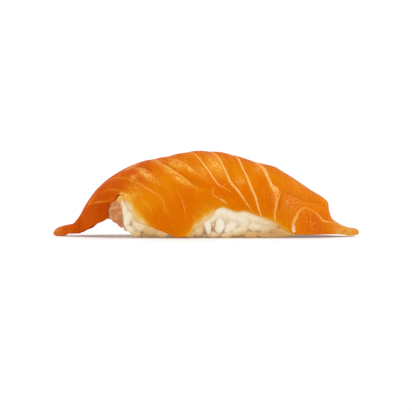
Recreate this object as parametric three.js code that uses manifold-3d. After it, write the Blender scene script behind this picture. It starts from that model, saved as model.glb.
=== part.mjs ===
// Salmon nigiri: a slice of raw salmon draped over a hand-pressed block of sushi rice.
// Millimetres, +Z up. X runs along the slice and -Y is its front. The origin is on the surface that
// the piece rests on, under the middle of its footprint.
import * as THREE from "three";
import Module from "manifold-3d";

const wasm = await Module();
wasm.setup();

// ---------------------------------------------------------------- driving dimensions
const LENGTH = 92; // the slice, from tip to tip as it lies
const TIP = LENGTH / 2;
const GAP = 0.65; // the air between the fish and the rice

// The slice's outside, as [place along X, value] pairs that a smooth curve joins.
const RIDGE_HEIGHT = [
  [-TIP, 1], [-45.2, 2.1], [-44.3, 2.6], [-43, 3.05], [-39.8, 3.65], [-38.5, 4.8], [-37.3, 6.4],
  [-36.1, 8.7], [-34, 12.1], [-32.5, 14], [-29, 17.2], [-22.6, 20.95], [-18, 22.6], [-13, 23.6],
  [-2, 25.5], [3.6, 25.2], [7.2, 24.6], [9.6, 23.9], [16, 21.9], [20.5, 20.8], [23, 19.4], [26.5, 17.2],
  [31.3, 13.9], [35, 11.6], [36.4, 10.3], [36.9, 7.6], [37.6, 5.5], [39.8, 3.85], [43, 2.6], [44.8, 2.25],
  [TIP, 0.9],
];
const WIDEST_HEIGHT = [
  [-TIP, 0.5], [-44.5, 1.6], [-43, 2.1], [-39.6, 2.7], [-37.3, 5.2], [-35, 8], [-33, 8.8], [-30, 8.9],
  [-27.5, 8.6], [-25, 7.9], [-22, 7.5], [20, 7.2], [28, 5], [36, 2.2], [40, 1.2], [TIP, 0.4],
];
const HALF_WIDTH = [
  [-TIP, 3.4], [-42, 5], [-38, 6.4], [-34, 9], [-29, 12], [-23, 13.9], [-9, 15], [4, 14.7],
  [20, 14.1], [28, 13], [36, 9], [41, 5.4], [TIP, 2.6],
];
const SWAY = [[-TIP, 2.2], [-36, 1.2], [-22, 0], [22, 0], [36, -0.8], [TIP, -2]]; // sideways
const FRONT_EDGE_HEIGHT = [
  [-TIP, 0.6], [-43.5, 2.5], [-39.6, 3.2], [-38.3, 4.6], [-36.3, 7.5], [-34, 9.6], [-31.5, 10.1],
  [-28.8, 10.3], [-26.4, 11.3], [-24.8, 12.8], [-24, 11.8], [-23, 8.7], [-21.2, 7.3], [-20.5, 5.2],
  [-17.3, 3.9], [-12.6, 2], [-9.8, 0.9], [-8.3, 0.25], [-6.2, 0.4], [-3.2, 2.7], [1.5, 6.9],
  [3.7, 8.7], [5.1, 9], [8, 8], [9.3, 7.7], [11.1, 7.9], [14.9, 6.7], [20.3, 5.1], [22.8, 3.3],
  [26.2, 2.1], [27.2, 1.1], [42, 0.9], [TIP, 0.5],
];
const BACK_EDGE_HEIGHT = [
  [-TIP, 0.6], [-43, 2.2], [-39.6, 2.8], [-36, 7.2], [-31, 10.4], [-25, 9], [-18, 6], [-11, 6.6],
  [-4, 8.4], [3, 5.2], [10, 4.4], [17, 7], [23, 5.4], [28, 2.2], [32, 1.2], [42, 0.9], [TIP, 0.5],
];
const THICKNESS = [
  [-TIP, 1], [-44.5, 2.4], [-43.4, 3], [-41, 2.6], [-39.6, 2.65], [-38.5, 3.9], [-37.3, 5.2],
  [-36.1, 6.4], [-34, 7.15], [-31.3, 6.3], [-28.8, 5.4], [-26, 4.9], [20, 4.9], [30, 4.6], [36, 4],
  [38.5, 3], [43, 2.2], [TIP, 0.8],
];
// The share of its thickness lost at the edges, and how plumb its cut sides stand, as a share.
const THINNING = [[-TIP, 0.05], [-29.4, 0.08], [-26.8, 0.84], [24, 0.84], [30, 0.5], [TIP, 0.2]];
const CUT_UPRIGHT = [[-TIP, 1], [-29.4, 1], [-26.8, 0], [26, 0], [36, 1], [TIP, 1]];
// The least height of its underside, which touches the table at both tips and the lobe.
const OFF_TABLE = [
  [-TIP, 0.5], [-45, 0.15], [-44, 0.03], [-42.6, 0.03], [-41, 0.75], [-37.3, 0.9], [-30, 0.9], [-22, 0.03],
  [22, 0.03], [28, 1], [38, 0.9], [41, 0.75], [43, 0.05], [44.5, 0.05], [TIP, 0.6],
];

// The flakes: white seams part the muscle. Each is [where it leaves the ridge, how far to the right it
// is by the front edge], and on the back it runs the other way.
const SEAMS = [
  [-41.5, 0], [-38, 3], [-35.4, 8], [-32.9, 14], [-30, 18.5], [-25.4, 20], [-20.3, 20.5],
  [-15.6, 20.5], [-10.8, 20], [-5, 18.2], [2, 12.6], [8.6, 8.4], [15.7, 5.4], [22.4, 3], [29, 1],
  [35, 0], [40.5, 0],
];
const SEAM_BEND = 1.6; // how late the seam leaves the ridge
const BACK_LEAN = -0.4; // the share of the reach on the back
const FLAKE_CROWN = 0.3; // how far a flake swells between its seams

// The shoulder near the right end: the top steps down to the lower front face along this line.
const SHOULDER = { from: 21, to: 38, height: [[21, 14.2], [30, 12], [38, 8.6]], step: 0.55, width: 0.07 };

// The rice block's bare core, under the grains.
const CORE_ENDS = [-27.8, 28.4];
const CORE_MIDDLE_HEIGHT = 6.6;
const CORE_TUCK = { side: 0.15, left: 6.8, right: 3 }; // the foot's: share of its width, and mm at the ends
const CORE_BASE = [[8, 0], [24, 0.75], [30, 0.9]]; // its foot's height off the table

// One cooked grain, and how the grains lie on the core.
const GRAIN = { length: 6.2, width: 2.9, thickness: 2.6 };
const GRAIN_SPACING = 2.5;
const GRAIN_SUNK = [0.36, 0.46, 0.58, 0.7, 0.8]; // shares of its thickness below the core's surface, tried in turn
const GRAIN_TILT = 0.7;
const GRAIN_REACH_UNDER = 1.2; // how far above the slice's edge a grain can still show
const GRAIN_CLEARANCE = 0.25;
const GRAIN_TRIES = 4000;
const SEED = 11;

// ---------------------------------------------------------------- curves and solids
const { clamp, lerp, smoothstep } = THREE.MathUtils;

/** Reads a table of [place, value] pairs with a smooth curve that never overshoots. */
function curveThrough(pairs) {
  const slopes = pairs.slice(1).map(([x, y], i) => (y - pairs[i][1]) / (x - pairs[i][0]));
  const tangents = pairs.map((_, i) => {
    const before = slopes[i - 1] ?? slopes[0];
    const after = slopes[i] ?? slopes[slopes.length - 1];
    return before * after > 0 ? (2 * before * after) / (before + after) : 0;
  });
  return (x) => {
    const next = pairs.findIndex(([place]) => place > x);
    const i = next < 0 ? pairs.length - 2 : Math.max(0, next - 1);
    const [x0, y0] = pairs[i];
    const [x1, y1] = pairs[i + 1];
    const span = x1 - x0;
    const t = clamp((x - x0) / span, 0, 1);
    const bend = (1 - t) * tangents[i] - t * tangents[i + 1];
    return lerp(y0, y1, (3 - 2 * t) * t * t) + span * t * (1 - t) * bend;
  };
}

/** A closed skin over rings of equal length. The first and last entry are single points. */
function skinOver(start, rings, end) {
  const around = rings[0].length;
  const points = [start, ...rings.flat(), end];
  const last = points.length - 1;
  const lastRing = last - around;
  const faces = [];
  for (let j = 0; j < around; j++) {
    const next = (j + 1) % around;
    faces.push(0, 1 + next, 1 + j, last, lastRing + j, lastRing + next);
    for (let a = 1; a < lastRing; a += around) {
      const b = a + around;
      faces.push(a + j, a + next, b + next, a + j, b + next, b + j);
    }
  }
  return new THREE.BufferGeometry().setFromPoints(points).setIndex(faces);
}

function solidOf(geometry) {
  const mesh = new wasm.Mesh({
    numProp: 3,
    vertProperties: new Float32Array(geometry.attributes.position.array),
    triVerts: new Uint32Array(geometry.index.array),
  });
  return new wasm.Manifold(mesh);
}

function geometryOf(solid) {
  const { vertProperties, triVerts } = solid.getMesh();
  const geometry = new THREE.BufferGeometry();
  geometry.setAttribute("position", new THREE.BufferAttribute(new Float32Array(vertProperties), 3));
  geometry.setIndex(new THREE.BufferAttribute(new Uint32Array(triVerts), 1));
  geometry.computeVertexNormals();
  return geometry;
}

// ---------------------------------------------------------------- the slice of salmon
const ridgeHeight = curveThrough(RIDGE_HEIGHT);
const widestHeight = curveThrough(WIDEST_HEIGHT);
const halfWidth = curveThrough(HALF_WIDTH);
const sway = curveThrough(SWAY);
const edgeHeight = { front: curveThrough(FRONT_EDGE_HEIGHT), back: curveThrough(BACK_EDGE_HEIGHT) };
const thickness = curveThrough(THICKNESS);
const thinning = curveThrough(THINNING);
const cutUpright = curveThrough(CUT_UPRIGHT);
const seamReach = curveThrough([[-TIP, 0], ...SEAMS, [TIP, 0]]);
const shoulderHeight = curveThrough(SHOULDER.height);
const offTable = curveThrough(OFF_TABLE);

const ARCH_POWER = 0.87; // below 1, the arch is a little boxier than an ellipse
const SKIRT_PATH = 0.45; // path from the widest line down to the table, with the arch as 1
const TIP_ROUND = 12;
const SLICE_STATIONS = 38; // on each side of the middle

/** A point of the slice's outside. path is 0 on the ridge, 1 on the widest line and more below it. */
function outsidePoint(x, side, path) {
  const widest = widestHeight(x);
  const half = halfWidth(x) * Math.sqrt(Math.max(0, 1 - Math.abs(x / TIP) ** TIP_ROUND));
  const sign = side === "front" ? -1 : 1;
  const angle = (Math.min(path, 1) * Math.PI) / 2;
  const across = half * Math.sin(angle) ** ARCH_POWER;
  const arch = (ridgeHeight(x) - widest) * Math.max(0, Math.cos(angle)) ** ARCH_POWER;
  const down = Math.max(0, path - 1) / SKIRT_PATH;
  return new THREE.Vector3(x, sway(x) + sign * across, widest * (1 - down) + arch);
}

/** The path at which the outside is at this height. */
function pathAt(x, height) {
  const widest = widestHeight(x);
  if (height < widest) return 1 + SKIRT_PATH * (1 - height / widest);
  const share = Math.min(1, (height - widest) / (ridgeHeight(x) - widest));
  return Math.acos(share ** (1 / ARCH_POWER)) / (Math.PI / 2);
}

const edgePath = (x, side) => pathAt(x, edgeHeight[side](x));

/** The outward direction, taken over a stretch of skin so that sharp bends turn it gently. */
function outwards(x, side, path) {
  const stepX = 1.8;
  const stepPath = 0.06;
  const along = outsidePoint(Math.min(TIP, x + stepX), side, path);
  along.sub(outsidePoint(Math.max(-TIP, x - stepX), side, path));
  const start = Math.max(0, path - stepPath);
  const across = outsidePoint(x, side, start + 2 * stepPath).sub(outsidePoint(x, side, start));
  if (path === 0) across.z = 0;
  const normal = side === "front" ? across.cross(along) : along.cross(across);
  return normal.normalize();
}

/** Relief of the flakes: each swells between its two seams. q is the share of the way to the edge. */
function flakeRelief(x, side, q) {
  const lean = (side === "front" ? 1 : BACK_LEAN) * q ** SEAM_BEND;
  let low = -TIP - 20;
  let high = TIP + 20;
  while (high - low > 0.01) {
    const middle = (low + high) / 2;
    if (middle + lean * seamReach(middle) < x) low = middle;
    else high = middle;
  }
  const next = SEAMS.findIndex(([ridgeX]) => ridgeX > low);
  if (next < 1) return 0;
  const share = (low - SEAMS[next - 1][0]) / (SEAMS[next][0] - SEAMS[next - 1][0]);
  return FLAKE_CROWN * 4 * share * (1 - share) * (1 - smoothstep(q, 0.75, 1));
}

function shoulderRelief(x, side, path) {
  const starts = smoothstep(x, SHOULDER.from, SHOULDER.from + 6);
  const present = starts * (1 - smoothstep(x, SHOULDER.to - 3, SHOULDER.to));
  if (side === "back" || present === 0) return 0;
  const line = pathAt(x, Math.min(shoulderHeight(x), ridgeHeight(x)));
  return -present * SHOULDER.step * smoothstep(path, line - SHOULDER.width, line + SHOULDER.width);
}

/** The slice's depth at this share of the way to the edge, as a vector from its outside inwards. */
function depthVector(x, side, path, q) {
  const thin = 1 - thinning(x) * smoothstep(path, 0.25, 1);
  const depth = thickness(x) * thin * Math.sqrt(1 - q ** 24);
  const direction = outwards(x, side, path).lerp(new THREE.Vector3(0, 0, 1), cutUpright(x));
  return direction.setLength(-depth);
}

/** The ring of points round the slice at x: over the outside, and back underneath. */
function sliceRing(x) {
  const outside = (side, q) => {
    const path = q * edgePath(x, side);
    const calm = smoothstep(TIP - Math.abs(x), 1, 8);
    const relief = flakeRelief(x, side, q) * calm + shoulderRelief(x, side, path);
    return outsidePoint(x, side, path).addScaledVector(outwards(x, side, path), relief);
  };
  const inside = (side, q) => {
    const path = q * edgePath(x, side);
    const point = outsidePoint(x, side, path).add(depthVector(x, side, path, q));
    point.z = Math.max(point.z, offTable(x));
    return point;
  };
  const over = [1, 0.95, 0.86, 0.76, 0.65, 0.53, 0.4, 0.27, 0.13];
  const under = [0.95, 0.86, 0.72, 0.58, 0.42, 0.22];
  return [
    ...over.map((q) => outside("back", q)),
    outside("front", 0),
    ...over.toReversed().map((q) => outside("front", q)),
    ...under.map((q) => inside("front", q)),
    inside("front", 0),
    ...under.toReversed().map((q) => inside("back", q)),
  ];
}

function salmonSlice() {
  const rings = [];
  for (let i = 1 - SLICE_STATIONS; i < SLICE_STATIONS; i++) {
    const along = i / SLICE_STATIONS;
    rings.push(sliceRing(TIP * (1.25 * along - 0.25 * along ** 3))); // closer together near the tips
  }
  const start = new THREE.Vector3(-TIP, sway(-TIP), ridgeHeight(-TIP));
  const end = new THREE.Vector3(TIP, sway(TIP), ridgeHeight(TIP));
  return skinOver(start, rings, end);
}

// ---------------------------------------------------------------- the block of rice
const coreBase = curveThrough(CORE_BASE);

/** The underside of the slice as cut by a plane across X, less the air under it. */
function ceiling(x, side, path) {
  const normal = outwards(x, side, path);
  const depth = GAP - depthVector(x, side, path, 0).dot(normal);
  const inPlane = normal.setX(0);
  return outsidePoint(x, side, path).addScaledVector(inPlane, -depth / inPlane.lengthSq());
}

/** A point of the bare core. along runs from -1 to 1, and turn from 0 on top to 1 under the middle. */
function corePoint(along, side, turn) {
  const down = clamp((turn - 0.6) / 0.25, 0, 1);
  const tuck = (along < 0 ? CORE_TUCK.left : CORE_TUCK.right) * down;
  const x = lerp(CORE_ENDS[0], CORE_ENDS[1], (along + 1) / 2) - tuck * along ** 5;
  const close = (power) => (1 - Math.abs(along) ** power) ** (1 / power);
  const point = ceiling(x, side, clamp(turn / 0.6, 0, 1));
  const underneath = clamp((1 - turn) / 0.15, 0, 1);
  const width = (point.y - sway(x)) * (1 - CORE_TUCK.side * down ** 2) * underneath * close(3.4);
  const height = lerp(point.z, coreBase(x), down) - CORE_MIDDLE_HEIGHT;
  const z = CORE_MIDDLE_HEIGHT + height * close(height > 0 ? 5 : 7);
  return new THREE.Vector3(x, sway(x) + width, z);
}

function riceCore() {
  const turns = [0.12, 0.24, 0.36, 0.48, 0.6, 0.7, 0.8, 0.85];
  const rings = [];
  for (let along = -1; along < 0.999; along += 0.05) {
    const at = Math.sin((along * Math.PI) / 2);
    if (Math.abs(at) > 0.9999) continue;
    rings.push([
      corePoint(at, "front", 0),
      ...turns.map((turn) => corePoint(at, "front", turn)),
      corePoint(at, "front", 1),
      ...turns.toReversed().map((turn) => corePoint(at, "back", turn)),
    ]);
  }
  return skinOver(corePoint(-1, "front", 0), rings, corePoint(1, "front", 0));
}

/** Numbers from 0 to 1 that look random and are the same at every build. */
function seededNumbers(seed) {
  let state = seed;
  return () => {
    state = (state + 0x6d2b79f5) | 0;
    let mixed = Math.imul(state ^ (state >>> 15), 1 | state);
    mixed = (mixed + Math.imul(mixed ^ (mixed >>> 7), 61 | mixed)) ^ mixed;
    return ((mixed ^ (mixed >>> 14)) >>> 0) / 2 ** 32;
  };
}

function riceGrain() {
  const rings = [-0.64, 0.05, 0.68].map((place) => {
    const girth = Math.sqrt(1 - place ** 2);
    return Array.from({ length: 6 }, (_, j) => {
      const angle = (j / 6) * 2 * Math.PI;
      const y = (GRAIN.width / 2) * girth * Math.cos(angle);
      const z = (GRAIN.thickness / 2) * girth * Math.sin(angle);
      return new THREE.Vector3((place * GRAIN.length) / 2, y, z);
    });
  });
  const end = new THREE.Vector3(GRAIN.length / 2, 0, 0);
  return skinOver(end.clone().negate(), rings, end);
}

/** A frame at a spot on the core, with Z outwards and turned round Z at random. */
function spotOnCore(along, side, turn, random) {
  const step = 0.003;
  const lengthways = corePoint(along + step, side, turn).sub(corePoint(along - step, side, turn));
  const down = corePoint(along, side, turn + step).sub(corePoint(along, side, turn - step));
  const outward = side === "front" ? down.cross(lengthways) : lengthways.cross(down);
  const spot = new THREE.Object3D();
  spot.position.copy(corePoint(along, side, turn));
  spot.quaternion.setFromUnitVectors(new THREE.Vector3(0, 0, 1), outward.normalize());
  spot.rotateZ(random() * Math.PI);
  spot.rotateY((random() - 0.5) * GRAIN_TILT);
  return { spot, outward };
}

/** The grain at a spot, pressed in until it is clear of the slice and stands on the table, or null. */
function placeGrain(grain, { spot, outward }, slice) {
  for (const sunk of GRAIN_SUNK) {
    const pose = spot.clone();
    pose.position.addScaledVector(outward, GRAIN.thickness * (0.5 - sunk));
    pose.updateMatrix();
    const pressed = grain.transform(pose.matrix.toArray());
    const lift = Math.max(0, coreBase(pose.position.x) + 0.02 - pressed.boundingBox().min[2]);
    const placed = pressed.translate([0, 0, lift]);
    if (placed.minGap(slice, 1) > GRAIN_CLEARANCE) return placed;
  }
  return null;
}

/** The grains that show: spread over the core below the slice's long edges. */
function riceGrains(slice) {
  const random = seededNumbers(SEED);
  const grain = solidOf(riceGrain());
  const centres = [];
  const grains = [];
  for (let n = 0; n < GRAIN_TRIES; n++) {
    const along = Math.sin(lerp(-0.94, 0.75, random()) * (Math.PI / 2)); // denser round the left end
    const side = random() < 0.5 ? "front" : "back";
    const place = spotOnCore(along, side, lerp(0.2, 0.83, random()), random);
    const centre = place.spot.position;
    if (centre.z > edgeHeight[side](centre.x) + GRAIN_REACH_UNDER) continue;
    if (centres.some((other) => other.distanceTo(centre) < GRAIN_SPACING)) continue;
    const placed = placeGrain(grain, place, slice);
    if (placed === null) continue;
    centres.push(centre);
    grains.push(placed);
  }
  return grains;
}

/** The block as one body: what a join leaves hollow or loose is filled or dropped. */
function riceBlock(slice) {
  const joined = wasm.Manifold.union([solidOf(riceCore()), ...riceGrains(slice)]);
  const bodies = joined.decompose();
  return bodies.reduce((best, body) => (body.volume() > best.volume() ? body : best));
}

// ---------------------------------------------------------------- the whole piece
const MATERIALS = {
  salmon: { color: "#dd6f12", roughness: 0.3, metalness: 0 },
  rice: { color: "#ece2cd", roughness: 0.45, metalness: 0 },
};

const slice = salmonSlice();
slice.computeVertexNormals();
const shapes = { salmon: slice, rice: geometryOf(riceBlock(solidOf(slice))) };
const nigiri = new THREE.Group();
for (const [name, shape] of Object.entries(shapes)) {
  const mesh = new THREE.Mesh(shape, new THREE.MeshStandardMaterial(MATERIALS[name]));
  mesh.name = name;
  nigiri.add(mesh);
}
export default nigiri;
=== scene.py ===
"""Salmon nigiri: a slice of raw salmon over a hand-pressed block of sushi rice, in metres, in the frame
of its CAD model. X runs along the slice, -Y is its front and +Z is up. It stands on z = 0."""

import math

import bmesh
import bpy
import numpy as np
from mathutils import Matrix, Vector
from mathutils.bvhtree import BVHTree


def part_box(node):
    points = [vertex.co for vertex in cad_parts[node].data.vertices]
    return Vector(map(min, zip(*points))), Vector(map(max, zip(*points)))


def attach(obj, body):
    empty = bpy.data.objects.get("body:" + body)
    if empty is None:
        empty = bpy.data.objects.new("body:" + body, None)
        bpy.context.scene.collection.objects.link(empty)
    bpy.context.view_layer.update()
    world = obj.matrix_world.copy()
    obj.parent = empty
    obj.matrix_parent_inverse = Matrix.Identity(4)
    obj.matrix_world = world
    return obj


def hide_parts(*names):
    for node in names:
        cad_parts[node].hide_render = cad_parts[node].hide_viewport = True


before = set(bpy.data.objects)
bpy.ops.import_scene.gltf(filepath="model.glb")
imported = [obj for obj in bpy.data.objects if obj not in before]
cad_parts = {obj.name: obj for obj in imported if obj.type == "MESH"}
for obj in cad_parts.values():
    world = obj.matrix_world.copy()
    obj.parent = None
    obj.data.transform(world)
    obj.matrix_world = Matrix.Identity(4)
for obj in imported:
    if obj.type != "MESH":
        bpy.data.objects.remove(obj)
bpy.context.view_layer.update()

# ---------------------------------------------------------------- the slice: its form
# One slice cut slantwise from a salmon fillet, about 5 mm thick. It is laid over the rice lengthways and
# pressed on by hand, so that it arches over the block, one lobe hangs to the plate in front, and the two
# ends droop past the rice. Sizes here are in millimetres, and MM makes them metres.

MM = 0.001
TO_MM = 1 / MM
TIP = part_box("salmon")[1][0] / MM

RIDGE_HEIGHT = [
    (-TIP, 1), (-45.2, 2.1), (-44.3, 2.6), (-43, 3.05), (-39.8, 3.65), (-38.5, 4.8), (-37.3, 6.4),
    (-36.1, 8.7), (-34, 12.1), (-32.5, 14), (-29, 17.2), (-22.6, 20.95), (-18, 22.6), (-13, 23.6),
    (-2, 25.5), (3.6, 25.2), (7.2, 24.6), (9.6, 23.9), (16, 21.9), (20.5, 20.8), (23, 19.4), (26.5, 17.2),
    (31.3, 13.9), (35, 11.6), (36.4, 10.3), (36.9, 7.6), (37.6, 5.5), (39.8, 3.85), (43, 2.65),
    (44.8, 2.5), (45.5, 2.05), (TIP, 1.45),
]
WIDEST_HEIGHT = [
    (-TIP, 0.5), (-44.5, 1.6), (-43, 2.1), (-39.6, 2.7), (-37.3, 5.2), (-35, 8), (-33, 8.8), (-30, 8.9),
    (-27.5, 8.6), (-25, 7.9), (-22, 7.5), (20, 7.2), (28, 5), (36, 2.2), (40, 1.2), (43.5, 0.9), (TIP, 1),
]
HALF_WIDTH = [
    (-TIP, 3.4), (-42, 5), (-38, 6.4), (-34, 9), (-29, 12), (-23, 13.9), (-9, 15), (4, 14.7), (20, 14.1),
    (28, 13), (36, 9), (41, 5.4), (TIP, 2.6),
]
SWAY = [(-TIP, 2.2), (-36, 1.2), (-22, 0), (22, 0), (36, -0.8), (TIP, -2)]  # its middle's, along Y
FRONT_EDGE_HEIGHT = [
    (-TIP, 0.6), (-43.5, 2.5), (-39.6, 3.2), (-38.3, 4.6), (-36.3, 7.5), (-34, 9.6), (-31.5, 10.1),
    (-28.4, 10.2), (-26.6, 10.9), (-25.9, 12.6), (-24.4, 12.7), (-23.6, 11.3), (-22.8, 8.9), (-21.2, 7.3),
    (-20.5, 5.2), (-17.3, 3.9), (-12.6, 2), (-9.8, 0.9), (-8.3, 0.25), (-6.2, 0.4), (-4.5, 0.9),
    (-3.3, 2.9), (-1.6, 3.6), (-0.6, 4.9), (0.9, 5.8), (2.2, 7.1), (3.1, 8.4), (3.9, 8.8), (5.1, 9),
    (8, 8), (9.3, 7.7), (11.1, 7.9), (14.9, 6.7), (20.3, 4.7), (22.8, 2.6), (25.4, 1.4), (27.2, 0.9),
    (42, 0.9), (44, 0.8), (TIP, 0.9),
]
BACK_EDGE_HEIGHT = [
    (-TIP, 0.6), (-43, 2.2), (-39.6, 2.8), (-36, 7.2), (-31, 10.4), (-25, 9), (-18, 6), (-11, 6.6),
    (-4, 8.4), (3, 5.2), (10, 4.4), (17, 7), (23, 5.4), (28, 2.2), (32, 1.2), (42, 0.9), (TIP, 0.5),
]
THICKNESS = [
    (-TIP, 1), (-44.5, 2.4), (-43.4, 3), (-41, 2.6), (-39.6, 2.65), (-38.5, 3.9), (-37.3, 5.2),
    (-36.1, 6.4), (-34, 7.7), (-31.3, 7.5), (-28.8, 6.7), (-26, 4.9), (20, 4.9), (30, 4.6), (36, 4),
    (38.5, 3), (43, 2.2), (TIP, 0.6),
]
# The share of its thickness lost at the edges, and how plumb its cut sides stand, as a share.
THINNING = [(-TIP, 0.05), (-29.4, 0.08), (-26.8, 0.92), (24, 0.92), (30, 0.5), (TIP, 0.2)]
CUT_UPRIGHT = [(-TIP, 1), (-29.4, 1), (-26.8, 0), (26, 0), (36, 1), (TIP, 1)]
# The least height of its underside, which touches the table at both tips and the lobe.
OFF_TABLE = [
    (-TIP, 0.5), (-45, 0.15), (-44, 0.03), (-42.6, 0.03), (-41, 0.75), (-37.3, 0.9), (-30, 0.9),
    (-22, 0.03), (22, 0.03), (28, 1), (38, 0.9), (41, 0.7), (43, 0.3), (44, 0.3), (TIP, 0.9),
]

ARCH_POWER = 0.87  # below 1, the arch is a little boxier than an ellipse
SKIRT_PATH = 0.45  # path from the widest line down to the table, with the arch as 1
TIP_ROUND = 12  # how blunt the tips are, seen from above
THINS_FROM = 0.25  # the path past which the slice thins towards an edge
EDGE_SQUARE = 24  # how squarely its long edges are cut
FRONT, BACK = -1, 1


def curve_through(pairs):
    """Reads (place, value) pairs with a smooth curve that never overshoots."""
    places, values = np.array(pairs, float).T
    slopes = np.diff(values) / np.diff(places)
    before, after = np.append(slopes[0], slopes), np.append(slopes, slopes[-1])
    agree = before * after > 0
    tangents = np.where(agree, 2 * before * after / np.where(agree, before + after, 1), 0)

    def read(x):
        i = np.clip(np.searchsorted(places, x, side="right") - 1, 0, len(slopes) - 1)
        span = places[i + 1] - places[i]
        t = np.clip((x - places[i]) / span, 0, 1)
        bend = (1 - t) * tangents[i] - t * tangents[i + 1]
        rise = values[i + 1] - values[i]
        return values[i] + rise * (3 - 2 * t) * t * t + span * t * (1 - t) * bend

    return read


ridge_height, widest_height = curve_through(RIDGE_HEIGHT), curve_through(WIDEST_HEIGHT)
half_width, sway = curve_through(HALF_WIDTH), curve_through(SWAY)
thickness, thinning = curve_through(THICKNESS), curve_through(THINNING)
cut_upright, off_table = curve_through(CUT_UPRIGHT), curve_through(OFF_TABLE)
front_edge, back_edge = curve_through(FRONT_EDGE_HEIGHT), curve_through(BACK_EDGE_HEIGHT)


def smoothstep(low, high, x):
    t = np.clip((x - low) / (high - low), 0, 1)
    return t * t * (3 - 2 * t)


def edge_height(x, side):
    return np.where(side == FRONT, front_edge(x), back_edge(x))


def outside_point(x, side, path):
    """The slice's outside. path is 0 on the ridge, 1 on the widest line and more below it."""
    widest = widest_height(x)
    half = half_width(x) * np.sqrt(np.clip(1 - np.abs(x / TIP) ** TIP_ROUND, 0, 1))
    angle = np.clip(path, 0, 1) * math.pi / 2
    across = half * np.sin(angle) ** ARCH_POWER
    arch = (ridge_height(x) - widest) * np.clip(np.cos(angle), 0, 1) ** ARCH_POWER
    down = np.clip(path - 1, 0, None) / SKIRT_PATH
    y = sway(x) + side * across
    return np.stack(np.broadcast_arrays(x, y, widest * (1 - down) + arch), axis=-1)


def path_at(x, height):
    """The path at which the outside is at this height."""
    widest = widest_height(x)
    share = np.clip((height - widest) / (ridge_height(x) - widest), 0, 1)
    on_arch = np.arccos(share ** (1 / ARCH_POWER)) / (math.pi / 2)
    return np.where(height < widest, 1 + SKIRT_PATH * (1 - height / widest), on_arch)


def outwards(x, side, path):
    """The outward direction, taken over a stretch of skin so that sharp bends turn it gently."""
    step_x, step_path = 1.8, 0.06
    along = outside_point(np.minimum(x + step_x, TIP), side, path)
    along = along - outside_point(np.maximum(x - step_x, -TIP), side, path)
    start = np.clip(path - step_path, 0, None)
    across = outside_point(x, side, start + 2 * step_path) - outside_point(x, side, start)
    across[..., 2] = np.where(np.broadcast_to(path, across.shape[:-1]) == 0, 0, across[..., 2])
    normal = np.cross(along, across) * np.broadcast_to(side, across.shape[:-1])[..., None]
    return normal / np.linalg.norm(normal, axis=-1, keepdims=True)


def depth_vector(x, side, path, q):
    """The slice's depth at this share of the way to the edge, from its outside inwards."""
    thin = 1 - thinning(x) * smoothstep(THINS_FROM, 1, path)
    depth = thickness(x) * thin * np.sqrt(np.clip(1 - np.abs(q) ** EDGE_SQUARE, 0, 1))
    upright = np.broadcast_to(cut_upright(x), depth.shape)[..., None]
    direction = outwards(x, side, path) * (1 - upright) + np.array((0, 0, 1)) * upright
    return -depth[..., None] * direction / np.linalg.norm(direction, axis=-1, keepdims=True)


# ---------------------------------------------------------------- the slice: its seams, creases and mesh
# Sheets of white connective tissue part the muscle into flakes. They show as pale lines that cross the
# slice slantwise, strong and clean on the right, faint on the left, where the flakes have slid over each
# other into creases. Near the right end one seam bends back in an arch.

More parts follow.
